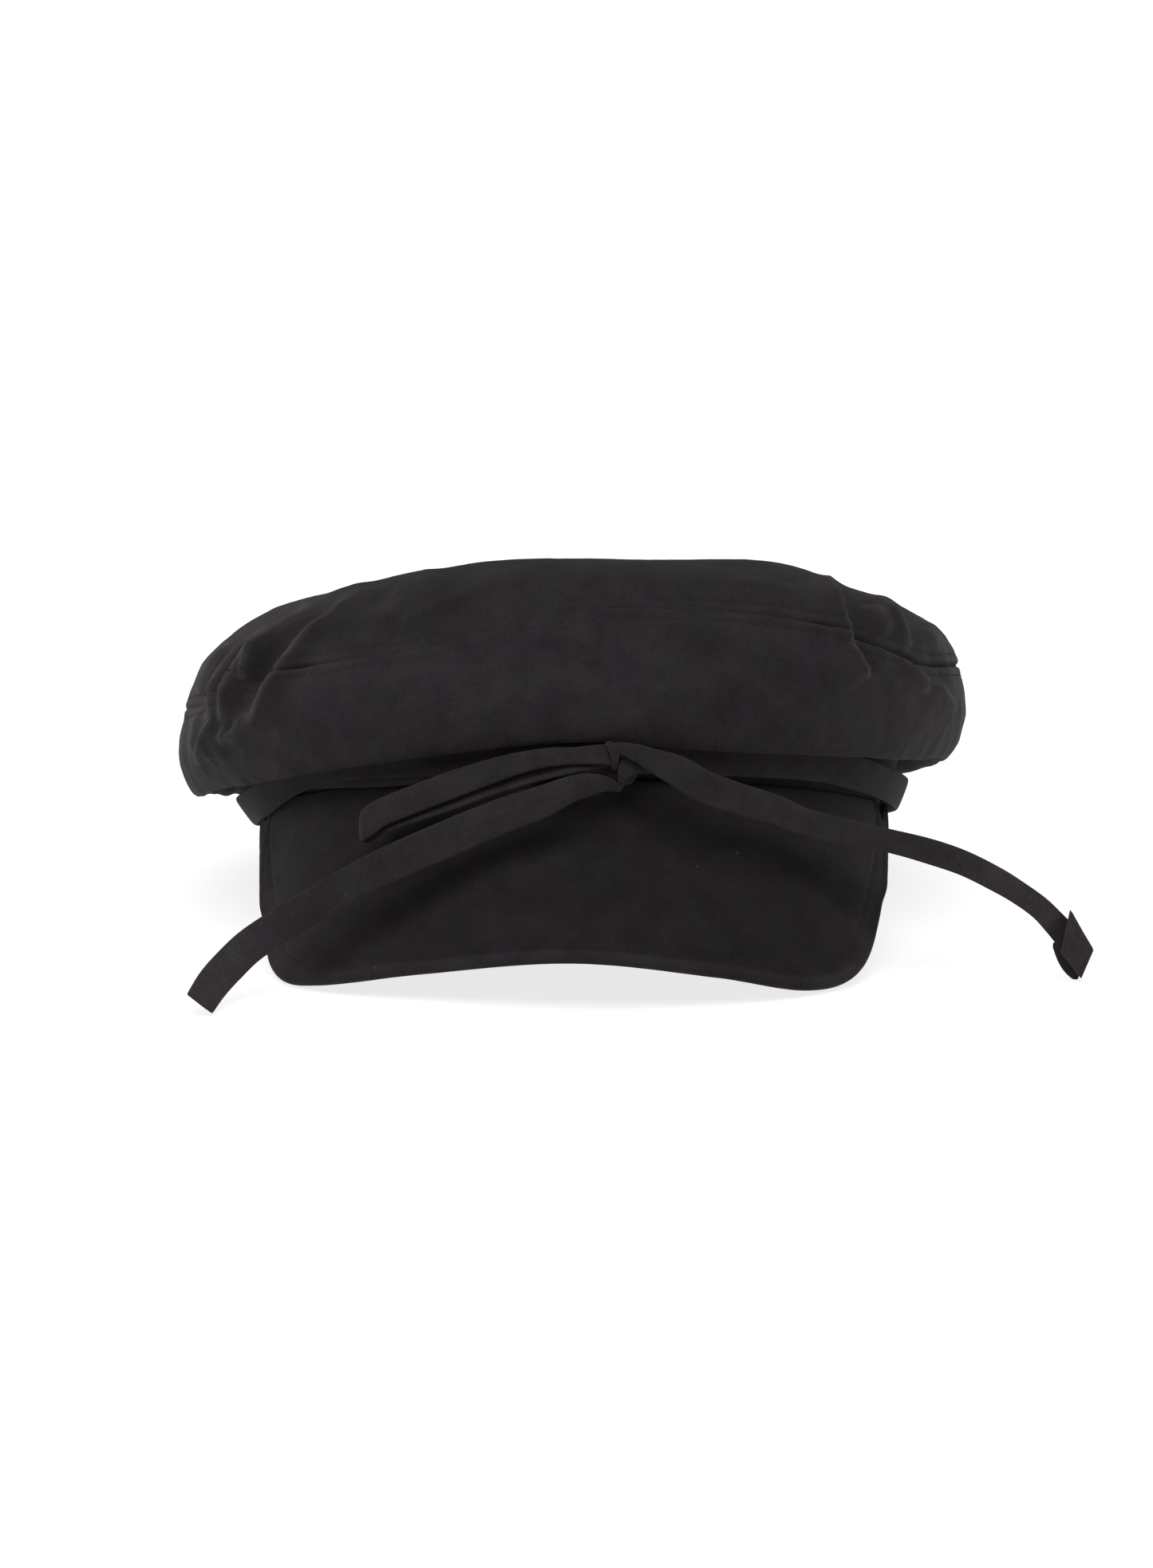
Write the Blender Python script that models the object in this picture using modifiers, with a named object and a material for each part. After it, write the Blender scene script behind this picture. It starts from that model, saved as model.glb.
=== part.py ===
"""A soft black sailor cap: a head band, a full crown that rolls down over it, a steep cloth-covered
peak, and a narrow tie wound round the band and tied at the front in a half bow.

Everything that sits on the head is drawn in the cap's own frame, in millimetres: the band's lower rim
lies in the plane z = 0, the front is -y, and x runs to the right of someone who looks at the front.
The cap is then leaned back until it stands on the two corners of its peak and on the back of its band.
"""

import math
from bisect import bisect_right
from collections import namedtuple

import bmesh
import bpy
from mathutils import Matrix, Vector

MM = 0.001
GAP = 0.35  # clear space between two pieces that touch on the real cap

# Head band: an oval for a head of about 58 cm round.
BAND_HALF_WIDTH = 89.0
BAND_HALF_LENGTH = 99.0
BAND_MEAN_HALF = (BAND_HALF_WIDTH + BAND_HALF_LENGTH) / 2
BAND_HEIGHT = 32.0
BAND_SEGMENTS = 60
CLOTH = 1.6

# How the cap rests: leaned back, with its rear rim pressed flat for a short way.
LEAN = math.radians(16.8)
RIM_PRESS = 1.2
CAP_BACK = 7.4  # shifts the leaned cap so that it is centred on the origin
VIEW_SLOPE = 0.087  # the front view looks up at the band's plane by 5 degrees

# Crown: heights above the band's lower rim, and reaches outside the band, round the head.
# Angle 0 is the front and 90 is the right as seen from the front.
CrownSection = namedtuple(
    "CrownSection",
    "angle roll_out roll_z belly_out belly_z seam_out seam_z shoulder_out shoulder_z crest_out crest_z",
)
CROWN_SECTIONS = (
    CrownSection(-180, 13, 12.5, 20, 24, 13, 39, 4, 49, -28, 57),
    CrownSection(-135, 15, 12.0, 23, 23, 17, 36, 8, 47, -24, 58),
    CrownSection(-90, 21.5, 5.8, 27, 15, 25.5, 30, 18.5, 46.3, -6, 60.5),
    CrownSection(-65, 17, 6.6, 25.5, 16, 23, 28.5, 14, 45.5, -10, 60.2),
    CrownSection(-45, 14, 6.0, 20, 18, 16, 32.5, 8, 48.5, -17, 62.4),
    CrownSection(-22, 11, 7.6, 16, 21, 12, 38.5, 4, 53.5, -22, 65.0),
    CrownSection(0, 10, 10.4, 15, 24, 10, 47, 2, 58, -22, 66),
    CrownSection(24, 11, 8.8, 16, 24, 11, 48, 4, 58, -20, 66.3),
    CrownSection(45, 13, 9.5, 19, 24, 15, 42.5, 9, 56.0, -13, 66.4),
    CrownSection(66, 15.5, 13.0, 23, 25, 21, 39, 14, 53, -7, 62.8),
    CrownSection(90, 20, 15.0, 26, 27, 24.5, 43, 17.5, 53.5, -5, 62.2),
    CrownSection(135, 15, 14.5, 23, 26, 18, 40, 9, 52, -20, 60),
)
CROWN_CENTRE_Z = 63.0
# A ring between crest and centre: its reach, and how much higher it lies at the front than the centre.
CROWN_PLATEAU_OUT = -55.0
CROWN_PLATEAU_RISE = 1.8
# Runs of sections round the crown, closer together where the cloth is folded: start, end, count.
CROWN_RUNS = ((-180, -112, 9), (-112, -40, 30), (-40, 40, 10), (40, 104, 20), (104, 180, 10))

# Folds of the crown in the front view: x across, h up from the band's rim. Heights below nought are
# valleys.
Fold = namedtuple("Fold", "x0 h0 x1 h1 x2 h2 width height")
CROWN_FOLDS = (
    Fold(-70, 61, -84, 41, -101, 24, 4.5, 3.6),
    Fold(-88, 53, -99, 37, -107, 21, 4.0, 3.0),
    Fold(-79, 57, -91, 39, -101, 29, 4.0, -3.0),
    Fold(-97, 45, -103, 36, -108, 29, 3.5, -2.0),
    Fold(77, 62, 79, 56, 81, 50, 4.5, -3.0),
    Fold(84, 63, 87, 54, 92, 48, 5.0, 1.8),
    Fold(89, 61, 95, 51, 97, 44, 4.0, -2.2),
    Fold(80, 49, 84, 44, 88, 38, 6.0, -1.5),
    Fold(-34, 69, -44, 66, -54, 64, 5.0, 1.0),
    Fold(-34, 63, -42, 59, -52, 53, 5.0, 1.2),
)
FOLD_BACK = (25.0, -10.0)  # folds fade in between these places from the back to the front
FOLD_FOOT = (3.2, 4.2)  # and between these places up the crown's profile, counted in its points

# Peak: its front edge, each point joined to a place on the band's rim given by its angle.
PeakPoint = namedtuple("PeakPoint", "angle x y h")
PEAK_EDGE = (
    PeakPoint(-80, -88.5, -66, -30),
    PeakPoint(-66, -84, -85, -44.6),
    PeakPoint(-54, -72, -99, -46.8),
    PeakPoint(-31, -44, -112.5, -43.8),
    PeakPoint(0, 0, -127, -40.2),
    PeakPoint(28, 40, -118, -44.4),
    PeakPoint(49, 66, -103, -48.3),
    PeakPoint(64, 80.5, -88, -43),
    PeakPoint(80, 87.5, -64, -25),
)
PEAK_THICKNESS = 3.0
PEAK_ROOT_OUT = 0.4
PEAK_ROOT_Z = -0.5
PEAK_BULGE = 1.5
PEAK_COLUMNS = 32
PEAK_ROWS = 6

# Tie: a narrow flat tube of the same cloth.
TAPE_WIDTH = 9.6
TAPE_THICKNESS = 1.4
TAPE_EDGE = 0.5
TURN_LEAN = math.radians(14)  # the turns stand off the band at their upper edge
# Turns of the tie round the band: height of its middle at the front, right, back and left.
Turn = namedtuple("Turn", "front right back left")
TIE_TURNS = (
    Turn(17.0, 16.0, 17.0, 15.0),
    Turn(11.5, 13.5, 14.0, 8.5),
    Turn(7.0, 7.0, 11.0, 6.5),
)
TURN_SEGMENTS = 48

Knot = namedtuple("Knot", "x y z width depth height")
TIE_KNOT = Knot(15.0, -110.1, 2.8, 12.5, 8.0, 11.5)

# A stop on a length of tape: where its middle is, the way its face looks, and how wide it lies.
Strip = namedtuple("Strip", "x y z nx ny nz width")

# The one loop of the half bow, in the cap's frame: out along the front, a fold, and back behind.
BOW_LOOP = (
    Strip(8.2, -112.3, 5.2, -0.1, -1.0, 0.25, 5.4),
    Strip(-7.0, -113.0, 4.4, 0.0, -1.0, 0.3, 7.4),
    Strip(-20.0, -111.5, 1.2, -0.1, -1.0, 0.3, 8.6),
    Strip(-36.0, -107.5, -4.0, -0.2, -1.0, 0.3, 9.2),
    Strip(-50.0, -102.0, -9.0, -0.3, -1.0, 0.3, 9.4),
    Strip(-57.5, -98.3, -11.3, -1.0, -0.6, 0.1, 9.6),
    Strip(-57.0, -95.5, -11.6, -0.6, 1.0, -0.2, 9.6),
    Strip(-50.0, -97.0, -10.2, 0.3, 1.0, -0.3, 9.4),
    Strip(-36.0, -103.0, -5.4, 0.2, 1.0, -0.3, 9.2),
    Strip(-20.0, -107.5, -0.4, 0.1, 1.0, -0.3, 8.6),
    Strip(-7.0, -109.6, 2.8, 0.0, 1.0, -0.3, 7.4),
    Strip(8.2, -109.2, 4.4, 0.0, 1.0, -0.25, 5.4),
)
LOOP_STATIONS = 44

# Free ends of the tie as they lie, in the resting frame, from the knot outwards.
TAIL_LEFT = (
    Strip(9.4, -100.4, 57.6, 0.1, -1.0, 0.3, 6.4),
    Strip(2.0, -104.6, 56.6, 0.0, -1.0, 0.4, 7.0),
    Strip(-8.0, -107.1, 54.6, 0.0, -1.0, 0.5, 8.0),
    Strip(-20.0, -107.6, 51.0, 0.0, -1.0, 0.6, 9.0),
    Strip(-36.0, -107.6, 43.5, 0.0, -1.0, 0.6, 9.6),
    Strip(-53.0, -107.6, 36.0, 0.0, -1.0, 0.6, 9.6),
    Strip(-66.0, -107.1, 29.0, 0.0, -1.0, 0.5, 9.6),
    Strip(-78.0, -107.3, 22.2, 0.1, -1.0, 0.4, 9.6),
    Strip(-89.0, -109.8, 15.0, 0.3, -0.8, 0.35, 9.6),
    Strip(-95.6, -115.0, 9.6, 0.4, -0.6, 0.5, 9.6),
    Strip(-99.7, -122.3, 6.2, 0.5, -0.45, 0.6, 9.4),
    Strip(-103.0, -130.9, 3.5, 0.53, -0.44, 0.72, 8.8),
)
TAIL_RIGHT = (
    Strip(21.7, -99.9, 63.3, 0.0, -1.0, 0.3, 7.6),
    Strip(27.5, -104.1, 62.6, 0.1, -1.0, 0.3, 8.6),
    Strip(35.5, -105.6, 59.2, 0.1, -1.0, 0.4, 9.0),
    Strip(45.0, -101.6, 55.0, 0.2, -1.0, 0.5, 9.0),
    Strip(55.5, -95.6, 50.5, 0.2, -1.0, 0.7, 9.0),
    Strip(64.5, -90.6, 45.7, 0.2, -1.0, 0.9, 9.0),
    Strip(78.0, -85.6, 41.4, 0.2, -1.0, 1.2, 9.0),
    Strip(88.6, -82.1, 38.4, 0.2, -1.0, 1.4, 9.0),
    Strip(99.7, -80.6, 35.1, 0.2, -1.0, 1.2, 9.0),
    Strip(109.0, -80.6, 31.8, 0.3, -1.0, 1.0, 9.0),
    Strip(117.5, -81.6, 28.0, 0.4, -1.0, 0.9, 9.0),
    Strip(125.4, -83.6, 23.6, 0.5, -1.0, 0.8, 9.2),
    Strip(133.0, -86.1, 17.3, 0.6, -1.0, 0.6, 9.4),
    Strip(138.6, -88.6, 11.0, 0.4, -1.0, 0.3, 9.4),
    Strip(141.8, -91.6, 4.4, 0.3, -1.0, 0.2, 9.2),
)
TAIL_STATIONS = 46

BLACK_CLOTH = (0.020, 0.017, 0.020)
COLOURS = {
    "head_band": (0.015, 0.013, 0.015),
    "crown_side": BLACK_CLOTH,
    "crown_top": (0.024, 0.021, 0.024),
    "peak": (0.018, 0.015, 0.018),
    "tie_wrap": (0.026, 0.023, 0.026),
    "tie_knot": (0.028, 0.024, 0.028),
    "bow_loop": (0.028, 0.024, 0.028),
    "tail": (0.030, 0.026, 0.030),
}


def smooth(knots, values, at):
    """The value at one place on the smooth curve that passes through values at knots."""
    low = min(max(bisect_right(knots, at) - 1, 0), len(knots) - 2)
    step = knots[low + 1] - knots[low]
    t = (at - knots[low]) / step

    def slope(index):
        before, after = max(index - 1, 0), min(index + 1, len(knots) - 1)
        return (values[after] - values[before]) / (knots[after] - knots[before])

    start, end = slope(low) * step, slope(low + 1) * step
    return (
        values[low] * (2 * t**3 - 3 * t**2 + 1)
        + start * (t**3 - 2 * t**2 + t)
        + values[low + 1] * (3 * t**2 - 2 * t**3)
        + end * (t**3 - t**2)
    )


def fade(low, high, at):
    """0 at low, 1 at high and smooth between them."""
    t = min(max((at - low) / (high - low), 0.0), 1.0)
    return t * t * (3 - 2 * t)


def chord_knots(points):
    """Distances along a run of points, which are the knots of the smooth curve through them."""
    knots = [0.0]
    for before, after in zip(points, points[1:]):
        knots.append(knots[-1] + (after - before).length)
    return knots


def oval(angle, out, z):
    """A point round the head: angle from the front in degrees, out from the band's outside."""
    turn = math.radians(angle)
    scale = 1 + out / BAND_MEAN_HALF
    return Vector((
        BAND_HALF_WIDTH * scale * math.sin(turn),
        -BAND_HALF_LENGTH * scale * math.cos(turn),
        z,
    ))


def cap_pose():
    """From the cap's own frame to the resting frame, both in millimetres."""
    lift = BAND_HALF_LENGTH * math.sin(LEAN) - RIM_PRESS
    return Matrix.Translation((0, CAP_BACK, lift)) @ Matrix.Rotation(-LEAN, 4, "X")


def cloth_material(name, colour):
    material = bpy.data.materials.new(name + "_cloth")
    material.use_nodes = True
    shader = material.node_tree.nodes["Principled BSDF"]
    shader.inputs["Base Color"].default_value = (*colour, 1.0)
    shader.inputs["Roughness"].default_value = 0.92
    shader.inputs["Metallic"].default_value = 0.0
    material.diffuse_color = (*colour, 1.0)
    return material


def add_object(name, mesh_builder, colour, collection):
    """Turns a bmesh in millimetres into a named object in metres."""
    bmesh.ops.scale(mesh_builder, vec=(MM, MM, MM), verts=mesh_builder.verts)
    mesh = bpy.data.meshes.new(name)
    mesh_builder.to_mesh(mesh)
    mesh_builder.free()
    mesh.shade_smooth()
    mesh.materials.append(cloth_material(name, colour))
    item = bpy.data.objects.new(name, mesh)
    collection.objects.link(item)
    return item


def lofted(rows, close_rows=False, close_columns=False, caps=False, apex=None):
    """A bmesh of faces between rows of points.

    Caps close the first and the last row; an apex closes the open ends of all the rows in one point.
    """
    builder = bmesh.new()
    grid = [[builder.verts.new(point) for point in row] for row in rows]
    count = len(grid[0])
    for i in range(len(grid) if close_rows else len(grid) - 1):
        near, far = grid[i], grid[(i + 1) % len(grid)]
        for j in range(count if close_columns else count - 1):
            k = (j + 1) % count
            builder.faces.new((near[j], far[j], far[k], near[k]))
    if caps:
        builder.faces.new(list(reversed(grid[0])))
        builder.faces.new(grid[-1])
    if apex is not None:
        tip = builder.verts.new(apex)
        for near, far in zip(grid, grid[1:] + grid[:1]):
            builder.faces.new((near[-1], far[-1], tip))
    return builder


def thicken(item, thickness):
    """Gives an open sheet its wall, inwards from the modelled side."""
    wall = item.modifiers.new("wall", "SOLIDIFY")
    wall.thickness = thickness * MM
    wall.offset = -1.0
    wall.use_even_offset = True
    wall.use_rim = True


# ---- crown ----


def crown_section(angle):
    """The crown's table read at any angle, as one row of smooth values."""
    rows = CROWN_SECTIONS
    knots = [rows[-1].angle - 360] + [row.angle for row in rows] + [row.angle + 360 for row in rows[:2]]
    values = [Vector(rows[-1][1:])] + [Vector(row[1:]) for row in rows] + [Vector(row[1:]) for row in rows[:2]]
    return CrownSection(angle, *smooth(knots, values, angle))


def crown_profile(angle):
    """Points of (reach, height) from the band's top, round the roll and up to the crown's centre."""
    row = crown_section(angle)
    neck_rise = BAND_HEIGHT - row.roll_z
    plateau_rise = CROWN_PLATEAU_RISE * math.cos(math.radians(angle))
    return [
        Vector((-CLOTH, BAND_HEIGHT + 1.6 * GAP)),
        Vector((1.0, BAND_HEIGHT + 0.8 * GAP)),
        Vector((0.5 * row.roll_out + 1.5, row.roll_z + 0.52 * neck_rise)),
        Vector((row.roll_out, row.roll_z)),
        Vector((row.belly_out, row.belly_z)),
        Vector((row.seam_out, row.seam_z)),
        Vector((row.shoulder_out, row.shoulder_z)),
        Vector((row.crest_out, row.crest_z)),
        Vector((CROWN_PLATEAU_OUT, CROWN_CENTRE_Z + plateau_rise)),
        Vector((-BAND_MEAN_HALF, CROWN_CENTRE_Z)),
    ]


# Places of the rows, counted in profile points: the seam between side and top is at point 5.
SIDE_STOPS = (0, 1, 1.5, 2, 2.5, 3, 3.4, 4, 4.35, 4.7, 5)
TOP_STOPS = (5.05, 5.4, 5.7, 6, 6.35, 6.7, 7, 7.5, 8, 8.5)


def fold_at(x, h):
    """How far the folds raise or sink the cloth at one place of the front view."""
    total = 0.0
    here = Vector((x, h))
    for fold in CROWN_FOLDS:
        line = [Vector((fold.x0, fold.h0)), Vector((fold.x1, fold.h1)), Vector((fold.x2, fold.h2))]
        lengths = chord_knots(line)
        best, along = None, 0.0
        for index in range(2):
            run = line[index + 1] - line[index]
            t = min(max((here - line[index]).dot(run) / run.length_squared, 0.0), 1.0)
            away = (here - line[index] - run * t).length
            if best is None or away < best:
                best, along = away, (lengths[index] + t * run.length) / lengths[-1]
        taper = fade(-0.15, 0.25, along) * fade(1.15, 0.75, along)
        total += fold.height * taper * math.exp(-((best / fold.width) ** 2))
    return total


def folded(rows, stops):
    """Moves a loft of crown points in or out along its normals where the cloth is folded."""
    result = []
    for i, row in enumerate(rows):
        before, after = rows[i - 1], rows[(i + 1) % len(rows)]
        moved = []
        for j, point in enumerate(row):
            across = after[j] - before[j]
            along = row[min(j + 1, len(row) - 1)] - row[max(j - 1, 0)]
            normal = across.cross(along).normalized()
            weight = fade(*FOLD_BACK, point.y) * fade(*FOLD_FOOT, stops[j])
            height = fold_at(point.x, point.z - VIEW_SLOPE * point.y) if weight else 0.0
            moved.append(point + normal * height * weight)
        result.append(moved)
    return result


def crown_angles():
    """Angles of the crown's sections, closer where it is folded."""
    angles = []
    for start, end, count in CROWN_RUNS:
        angles += [start + (end - start) * step / count for step in range(count)]
    return angles


def crown_rows(stops):
    """Sections of the crown, each through the same places counted in profile points."""
    rows = []
    for angle in crown_angles():
        profile = crown_profile(angle)
        knots = chord_knots(profile)
        row = []
        for stop in stops:
            low = min(int(stop), len(knots) - 2)
            place = knots[low] + (knots[low + 1] - knots[low]) * (stop - low)
            row.append(oval(angle, *smooth(knots, profile, place)))
        rows.append(row)
    return rows


def make_crown_side(collection):
    rows = folded(crown_rows(SIDE_STOPS), SIDE_STOPS)
    side = add_object("crown_side", lofted(rows, close_rows=True), COLOURS["crown_side"], collection)
    thicken(side, CLOTH)
    return side


def make_crown_top(collection):
    rows = folded(crown_rows(TOP_STOPS), TOP_STOPS)
    builder = lofted(rows, close_rows=True, apex=(0, 0, CROWN_CENTRE_Z))
    top = add_object("crown_top", builder, COLOURS["crown_top"], collection)
    thicken(top, CLOTH)
    return top


# ---- head band and the turns of the tie ----


def pressed_flat(point):
    """Keeps a point of the cap's frame on or above the surface that the cap rests on."""
    pose = cap_pose()
    resting = pose @ point
    resting.z = max(resting.z, 0.0)
    return pose.inverted() @ resting


def make_head_band(collection):
    sections = []
    for step in range(BAND_SEGMENTS):
        angle = -180 + 360 * step / BAND_SEGMENTS
        corners = ((0, 0), (0, BAND_HEIGHT), (-CLOTH, BAND_HEIGHT), (-CLOTH, 0))
        sections.append([pressed_flat(oval(angle, out, z)) for out, z in corners])
    builder = lofted(sections, close_rows=True, close_columns=True)
    bmesh.ops.recalc_face_normals(builder, faces=builder.faces)
    return add_object("head_band", builder, COLOURS["head_band"], collection)


def tape_section(centre, width_way, face_way, width=TAPE_WIDTH):
    """Six corners of the flat tape round one centre."""
    half, thick = width / 2, TAPE_THICKNESS / 2
    shape = ((-half, 0), (TAPE_EDGE - half, thick), (half - TAPE_EDGE, thick), (half, 0),
             (half - TAPE_EDGE, -thick), (TAPE_EDGE - half, -thick))
    return [centre + width_way * across + face_way * up for across, up in shape]


def make_tie_turn(number, turn, collection):
    """One turn of the tie, which lies outside the turns before it."""
    first = GAP + TAPE_THICKNESS / 2 + TAPE_WIDTH / 2 * math.sin(TURN_LEAN)
    out = first + (number - 1) * (TAPE_THICKNESS + GAP) / math.cos(TURN_LEAN)
    knots = [-270, -180, -90, 0, 90, 180, 270]
    heights = [turn.right, turn.back, turn.left, turn.front, turn.right, turn.back, turn.left]
    sections = []
    for step in range(TURN_SEGMENTS):
        angle = -180 + 360 * step / TURN_SEGMENTS
        centre = oval(angle, out, smooth(knots, heights, angle))
        outward = (oval(angle, out + 1, 0) - oval(angle, out, 0)).normalized()
        up = Vector((0, 0, 1))
        width_way = up * math.cos(TURN_LEAN) + outward * math.sin(TURN_LEAN)
        face_way = outward * math.cos(TURN_LEAN) - up * math.sin(TURN_LEAN)
        sections.append(tape_section(centre, width_way, face_way))
    builder = lofted(sections, close_rows=True, close_columns=True)
    bmesh.ops.recalc_face_normals(builder, faces=builder.faces)
    return add_object(f"tie_wrap_{number}", builder, COLOURS["tie_wrap"], collection)


# ---- peak ----


def peak_rows():
    knots = [point.angle for point in PEAK_EDGE]
    edge = [Vector((p.x, p.y, p.h + VIEW_SLOPE * p.y)) for p in PEAK_EDGE]
    rows = []
    for column in range(PEAK_COLUMNS):
        angle = knots[0] + (knots[-1] - knots[0]) * column / (PEAK_COLUMNS - 1)
        root = oval(angle, PEAK_ROOT_OUT, PEAK_ROOT_Z)
        tip = smooth(knots, edge, angle)
        outward = Vector((root.x, root.y, 0)).normalized()
        row = []
        for step in range(PEAK_ROWS):
            t = step / (PEAK_ROWS - 1)
            row.append(root.lerp(tip, t) + outward * PEAK_BULGE * math.sin(math.pi * t))
        rows.append(row)
    return rows


def make_peak(collection):
    peak = add_object("peak", lofted(peak_rows()[::-1]), COLOURS["peak"], collection)
    thicken(peak, PEAK_THICKNESS)
    return peak


# ---- knot, loop and free ends ----


def make_tie_knot(collection):
    """A small pillow of cloth, narrower at its foot, rounded by subdivision."""
    builder = bmesh.new()
    bmesh.ops.create_cube(builder, size=1.0)
    bmesh.ops.subdivide_edges(builder, edges=builder.edges, cuts=1, use_grid_fill=True)
    for vert in builder.verts:
        pinch = 1.0 - 0.35 * fade(0.5, -0.5, vert.co.z)
        vert.co.x *= TIE_KNOT.width * pinch * 1.15
        vert.co.y *= TIE_KNOT.depth * 1.15
        vert.co.z *= TIE_KNOT.height * 1.15
        vert.co += Vector((TIE_KNOT.x, TIE_KNOT.y, TIE_KNOT.z))
    knot = add_object("tie_knot", builder, COLOURS["tie_knot"], collection)
    rounding = knot.modifiers.new("rounding", "SUBSURF")
    rounding.levels = 1
    rounding.render_levels = 1
    return knot


def strip_solid(stops, stations):
    """A flat tape through a hand-laid run of stops, each with the way its face looks."""
    centres = [Vector((s.x, s.y, s.z)) for s in stops]
    faces = [Vector((s.nx, s.ny, s.nz)).normalized() for s in stops]
    knots = chord_knots(centres)
    sections = []
    for step in range(stations):
        place = knots[-1] * step / (stations - 1)
        centre = smooth(knots, centres, place)
        ahead = smooth(knots, centres, min(place + 0.5, knots[-1]))
        behind = smooth(knots, centres, max(place - 0.5, 0.0))
        along = (ahead - behind).normalized()
        width_way = along.cross(smooth(knots, faces, place)).normalized()
        width = smooth(knots, [s.width for s in stops], place)
        sections.append(tape_section(centre, width_way, width_way.cross(along), width))
    builder = lofted(sections, close_columns=True, caps=True)
    bmesh.ops.recalc_face_normals(builder, faces=builder.faces)
    return builder


def make_bow_loop(collection):
    builder = strip_solid(BOW_LOOP, LOOP_STATIONS)
    return add_object("bow_loop", builder, COLOURS["bow_loop"], collection)


def make_tail(name, stops, collection):
    return add_object(name, strip_solid(stops, TAIL_STATIONS), COLOURS["tail"], collection)


def main():
    for item in list(bpy.data.objects):
        bpy.data.objects.remove(item, do_unlink=True)
    collection = bpy.data.collections.new("sailor_cap")
    bpy.context.scene.collection.children.link(collection)

    on_the_cap = [make_head_band(collection), make_crown_side(collection), make_crown_top(collection)]
    on_the_cap.append(make_peak(collection))
    for number, turn in enumerate(TIE_TURNS, start=1):
        on_the_cap.append(make_tie_turn(number, turn, collection))
    on_the_cap.append(make_tie_knot(collection))
    on_the_cap.append(make_bow_loop(collection))
    pose = cap_pose()
    pose.translation *= MM
    for item in on_the_cap:
        item.matrix_world = pose

    make_tail("tail_left", TAIL_LEFT, collection)
    make_tail("tail_right", TAIL_RIGHT, collection)


main()
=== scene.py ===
# %% [markdown]
# # A soft black sailor cap
# The cap is unlined black cotton: a head band, a full crown that rolls down over it, a peak, and a
# narrow tie wound round the band and knotted in a half bow. The solids give every part its place
# and size, so this lesson only dresses them in cloth. Lengths are typed in millimetres and become
# metres when a mesh is made. Angles go round the head in degrees: 0 is the front, 90 its right.

# %% Load the frame
import math
from collections import namedtuple

import bmesh
import bpy
import numpy as np
from mathutils import Matrix, Vector, noise


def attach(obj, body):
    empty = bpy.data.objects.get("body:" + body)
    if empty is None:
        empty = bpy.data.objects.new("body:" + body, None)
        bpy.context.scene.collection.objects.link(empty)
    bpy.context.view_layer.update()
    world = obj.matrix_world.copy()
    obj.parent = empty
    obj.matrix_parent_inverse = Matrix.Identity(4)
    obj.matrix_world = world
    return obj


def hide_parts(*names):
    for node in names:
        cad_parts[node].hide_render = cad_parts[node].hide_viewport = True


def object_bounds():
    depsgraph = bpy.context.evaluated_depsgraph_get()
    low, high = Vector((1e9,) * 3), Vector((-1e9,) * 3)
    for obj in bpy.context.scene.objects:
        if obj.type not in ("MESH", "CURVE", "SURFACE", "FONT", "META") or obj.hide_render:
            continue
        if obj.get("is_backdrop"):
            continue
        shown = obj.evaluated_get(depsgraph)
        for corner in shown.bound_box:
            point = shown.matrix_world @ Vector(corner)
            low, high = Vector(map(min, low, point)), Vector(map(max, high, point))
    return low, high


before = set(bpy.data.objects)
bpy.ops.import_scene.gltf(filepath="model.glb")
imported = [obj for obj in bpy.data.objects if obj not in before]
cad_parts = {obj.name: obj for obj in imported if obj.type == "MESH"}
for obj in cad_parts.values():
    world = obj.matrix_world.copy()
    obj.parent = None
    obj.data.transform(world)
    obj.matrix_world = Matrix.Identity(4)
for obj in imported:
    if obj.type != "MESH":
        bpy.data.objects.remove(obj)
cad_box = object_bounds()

MM = 0.001


def in_scene(name, data):
    """A new object of the scene."""
    thing = bpy.data.objects.new(name, data)
    bpy.context.scene.collection.objects.link(thing)
    return thing


print("cap solids:", sorted(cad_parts))

# %% [markdown]
# ## The camera
# A product picture is taken with a long lens from a little above the table, here from 2 m away, so
# that near and far parts of the cap keep their true sizes.

# %% Camera
VIEW_HEIGHT = math.radians(11.8)
VIEW_DISTANCE = 2.0
VIEW_CENTRE = Vector((0.0006, -0.0486, 0.0478))
LENS = 162.11

looking = Vector((0, math.cos(VIEW_HEIGHT), -math.sin(VIEW_HEIGHT)))
camera_data = bpy.data.cameras.new("table_camera")
camera_data.lens = LENS
camera_data.sensor_width = 36
camera_data.clip_end = 60
camera = in_scene("table_camera", camera_data)
camera.location = VIEW_CENTRE - looking * VIEW_DISTANCE
camera.rotation_euler = (math.pi / 2 - VIEW_HEIGHT, 0, 0)
bpy.context.scene.camera = camera
print("camera at", [round(c, 3) for c in camera.location])

# %% [markdown]
# ## The cap's own frame
# The cap leans back on its rear rim. It is easier to shape it standing level, with the band's lower
# rim in the plane z = 0, and to lean it at the end. `in_place` does that leaning.

# %% The level cap and how it leans
BAND_HALF_WIDTH, BAND_HALF_LENGTH = 89.0, 99.0
BAND_MEAN_HALF = 94.0
BAND_HEIGHT = 32.0
CLOTH = 1.6
LEAN = math.radians(16.8)
PRESSED = 1.2  # how far the table presses the back of the rim flat
LIFT = BAND_HALF_LENGTH * math.sin(LEAN) - PRESSED
SET_BACK = 7.4  # brings the middle of the resting cap over the origin
LEANING = np.array(Matrix.Translation((0, SET_BACK, LIFT)) @ Matrix.Rotation(-LEAN, 4, "X"))
VIEW_SLOPE = 0.087  # the camera looks up at the band's plane by 5 degrees


def leaned(ways):
    """Directions of the level cap, leaned back with it."""
    return ways @ LEANING[:3, :3].T


def in_place(points):
    """Points of the level cap, leaned back as it rests."""
    return leaned(points) + LEANING[:3, 3]


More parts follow.
